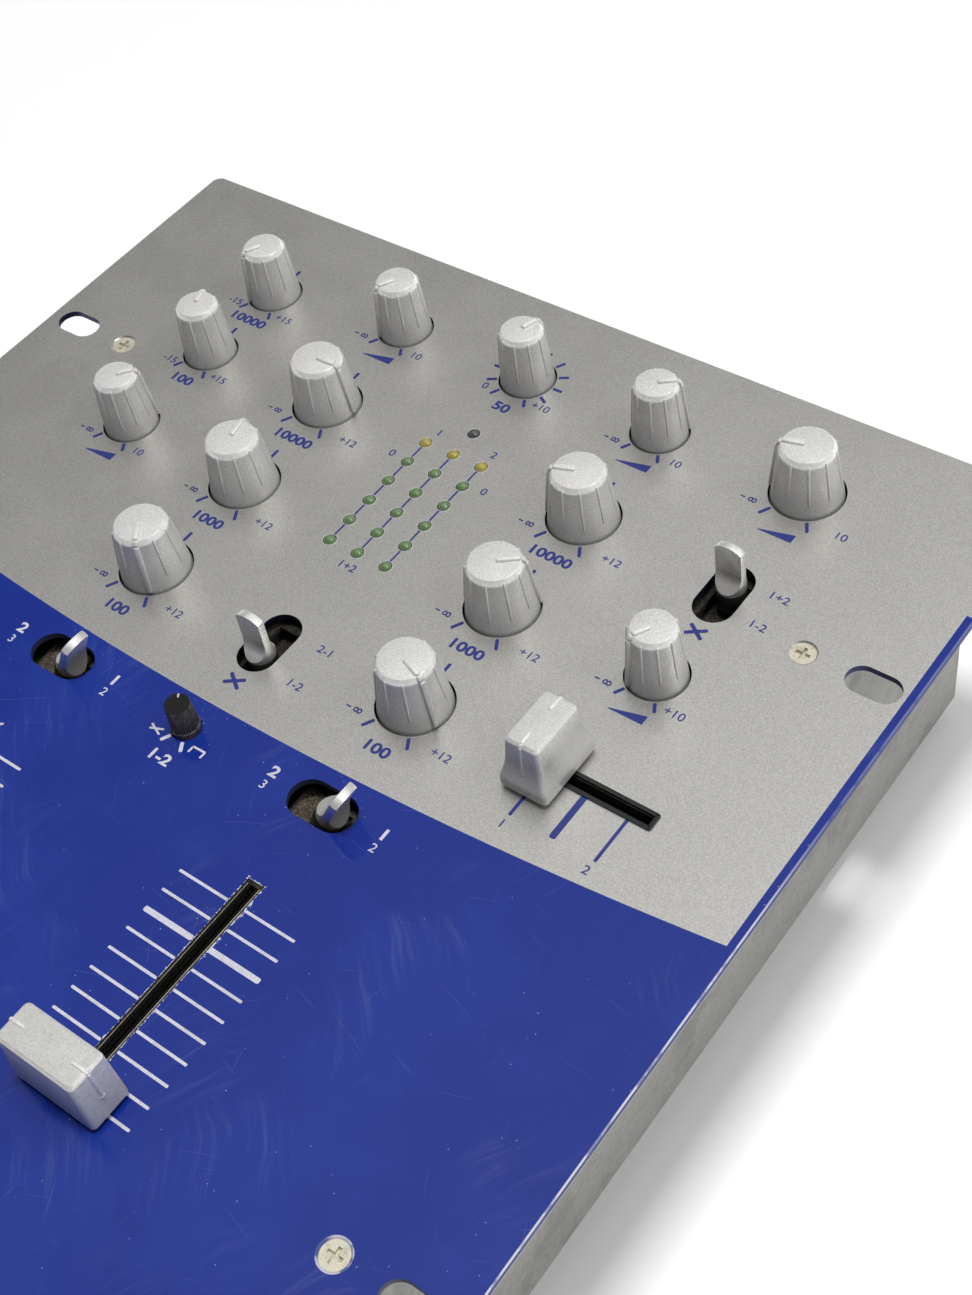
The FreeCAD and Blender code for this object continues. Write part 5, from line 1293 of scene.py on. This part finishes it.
SLOPE_SIGNS = [((-7.1, -11.0), (-3.9, -9.7), 0.5), ((-7.4, -9.8), (-3.9, -11.3), 0.5),
               ((4.7, -11.4), (4.8, -9.7), 0.5), ((4.7, -9.7), (8.2, -9.6), 0.5),
               ((8.1, -9.6), (8.0, -11.3), 0.5),
               ((-2.75, -12.2), (-1.6, -10.0), 0.85), ((3.3, -12.3), (1.9, -10.1), 0.85)]
for first, last, width in SLOPE_SIGNS:
    first, last = Vector(first) * MM, Vector(last) * MM
    along = last - first
    pale_signs.append(mark((first + last) / 2, along.length, width * MM, math.atan2(along.y, along.x)))
    lift_ink(pale_signs[-1], along.y)
complete(join(*blue_marks, *blue_signs), "blue_print", "panel_finish", material=blue_ink)
complete(join(*pale_marks, *pale_signs), "pale_print", "panel_finish", material=pale_ink)
print("print done")

# %% [markdown]
# ## Floor, light and camera
# The mixer stands on a plain white floor under a soft sky that is bright overhead and dim towards the
# front, which is what the gloss of the enamel mirrors. A lamp hangs straight above, kept out of the mirror
# images, so that the tops are bright, the sides are dim and the shadow stays close under the panel's edge;
# a weaker one on the right lifts the sides of the knobs. The camera sees a white backdrop, and looks down
# over the near right corner.

# %% Floor and light
floor = start(bpy.ops.mesh.primitive_plane_add, size=8, location=(0, 0, -0.0002))
floor.name = "floor"
floor_material, floor_tree, floor_shader = start_material("pale_floor")
wire(floor_shader, Base_Color=(0.985, 0.985, 0.985, 1), Roughness=0.8)
OWN_WHITE = 0.05
WHITE = (1, 1, 1, 1)


def direct_sight(tree):
    """Two masks: what the camera sees straight, and what it sees by way of metal and glass."""
    rays = put(tree, "LightPath").outputs
    mirrored = most(rays["Is Glossy Ray"], rays["Is Transmission Ray"])
    return rays["Is Camera Ray"], mirrored


def blend_shaders(tree, factor, first, second, output):
    blend = put(tree, "MixShader")
    for place, value in enumerate((factor, first, second)):
        feed(blend.inputs[place], value)
    wire(tree.nodes[output], Surface=blend.outputs[0])


glow = put(floor_tree, "Emission", Color=WHITE, Strength=1.0)
away = calc("LENGTH", object_place(floor_tree), kind="VectorMath")
own_white = ramp(away, 0.28, 0.8, OWN_WHITE, 1.0)
seen = times(most(*direct_sight(floor_tree)), own_white)
blend_shaders(floor_tree, seen, floor_shader.outputs[0], glow.outputs[0], "Material Output")
floor.data.materials.append(floor_material)

SKY_SLOPE = (0.5, 0.0, 2.3)
SKY_DROP = -1.03
SKY_LEAST = 0.035
FRONT_DIM = 0.05
world = bpy.data.worlds.new("studio_sky")
world.use_nodes = True
sky_tree = world.node_tree
way = put(sky_tree, "TexCoord").outputs["Generated"]
_, way_y, way_z = split(way)
slope = calc("DOT_PRODUCT", way, SKY_SLOPE, kind="VectorMath")
sky_level = most(calc("ADD", slope, SKY_DROP), SKY_LEAST)
sky_level = times(sky_level, ramp(way_y, -0.6, 0.25, FRONT_DIM, 1.0))
sky_node = sky_tree.nodes["Background"]
wire(sky_node, Strength=sky_level, Color=WHITE)
backdrop = put(sky_tree, "Background", Color=WHITE, Strength=1.0)
straight, mirrored = direct_sight(sky_tree)
low_down = ramp(way_z, 0.3, 0.1)
seen = most(straight, times(mirrored, low_down))
blend_shaders(sky_tree, seen, sky_node.outputs[0], backdrop.outputs[0], "World Output")
bpy.context.scene.world = world


def broad_lamp(name, spot, target, size, power):
    data = bpy.data.lights.new(name, "AREA")
    data.size = size
    data.energy = power
    lamp = bpy.data.objects.new(name, data)
    bpy.context.collection.objects.link(lamp)
    lamp.location = spot
    lamp.rotation_euler = (Vector(target) - Vector(spot)).to_track_quat("-Z", "Y").to_euler()
    return lamp


key_lamp = broad_lamp("key_lamp", (0.21, 0.10, 2.50), (0.21, 0.10, 0.0), 0.42, 37.5)
key_lamp.visible_glossy = False
broad_lamp("side_lamp", (1.36, 0.44, 1.75), (0, 0, 0.07), 0.4, 7.0)
print("lamps", len(bpy.data.lights))

# %% Camera
CAMERA_SPOT = Vector((228.0, -137.7, 382.2)) * MM
SIGHT = Vector((-0.4627, 0.4536, -0.7617))
RIGHT = Vector((0.7937, 0.5947, -0.1279))
camera_data = bpy.data.cameras.new("camera")
camera_data.lens = 51.74
camera_data.sensor_width = 36.0
camera_data.clip_start = 0.01
camera = bpy.data.objects.new("camera", camera_data)
bpy.context.collection.objects.link(camera)
axes = Matrix((RIGHT, RIGHT.cross(SIGHT), -SIGHT)).transposed()
camera.matrix_world = Matrix.Translation(CAMERA_SPOT) @ axes.to_4x4()
bpy.context.scene.camera = camera
bpy.context.scene.view_settings.view_transform = "Standard"
print("camera at", tuple(round(value, 3) for value in camera.location))
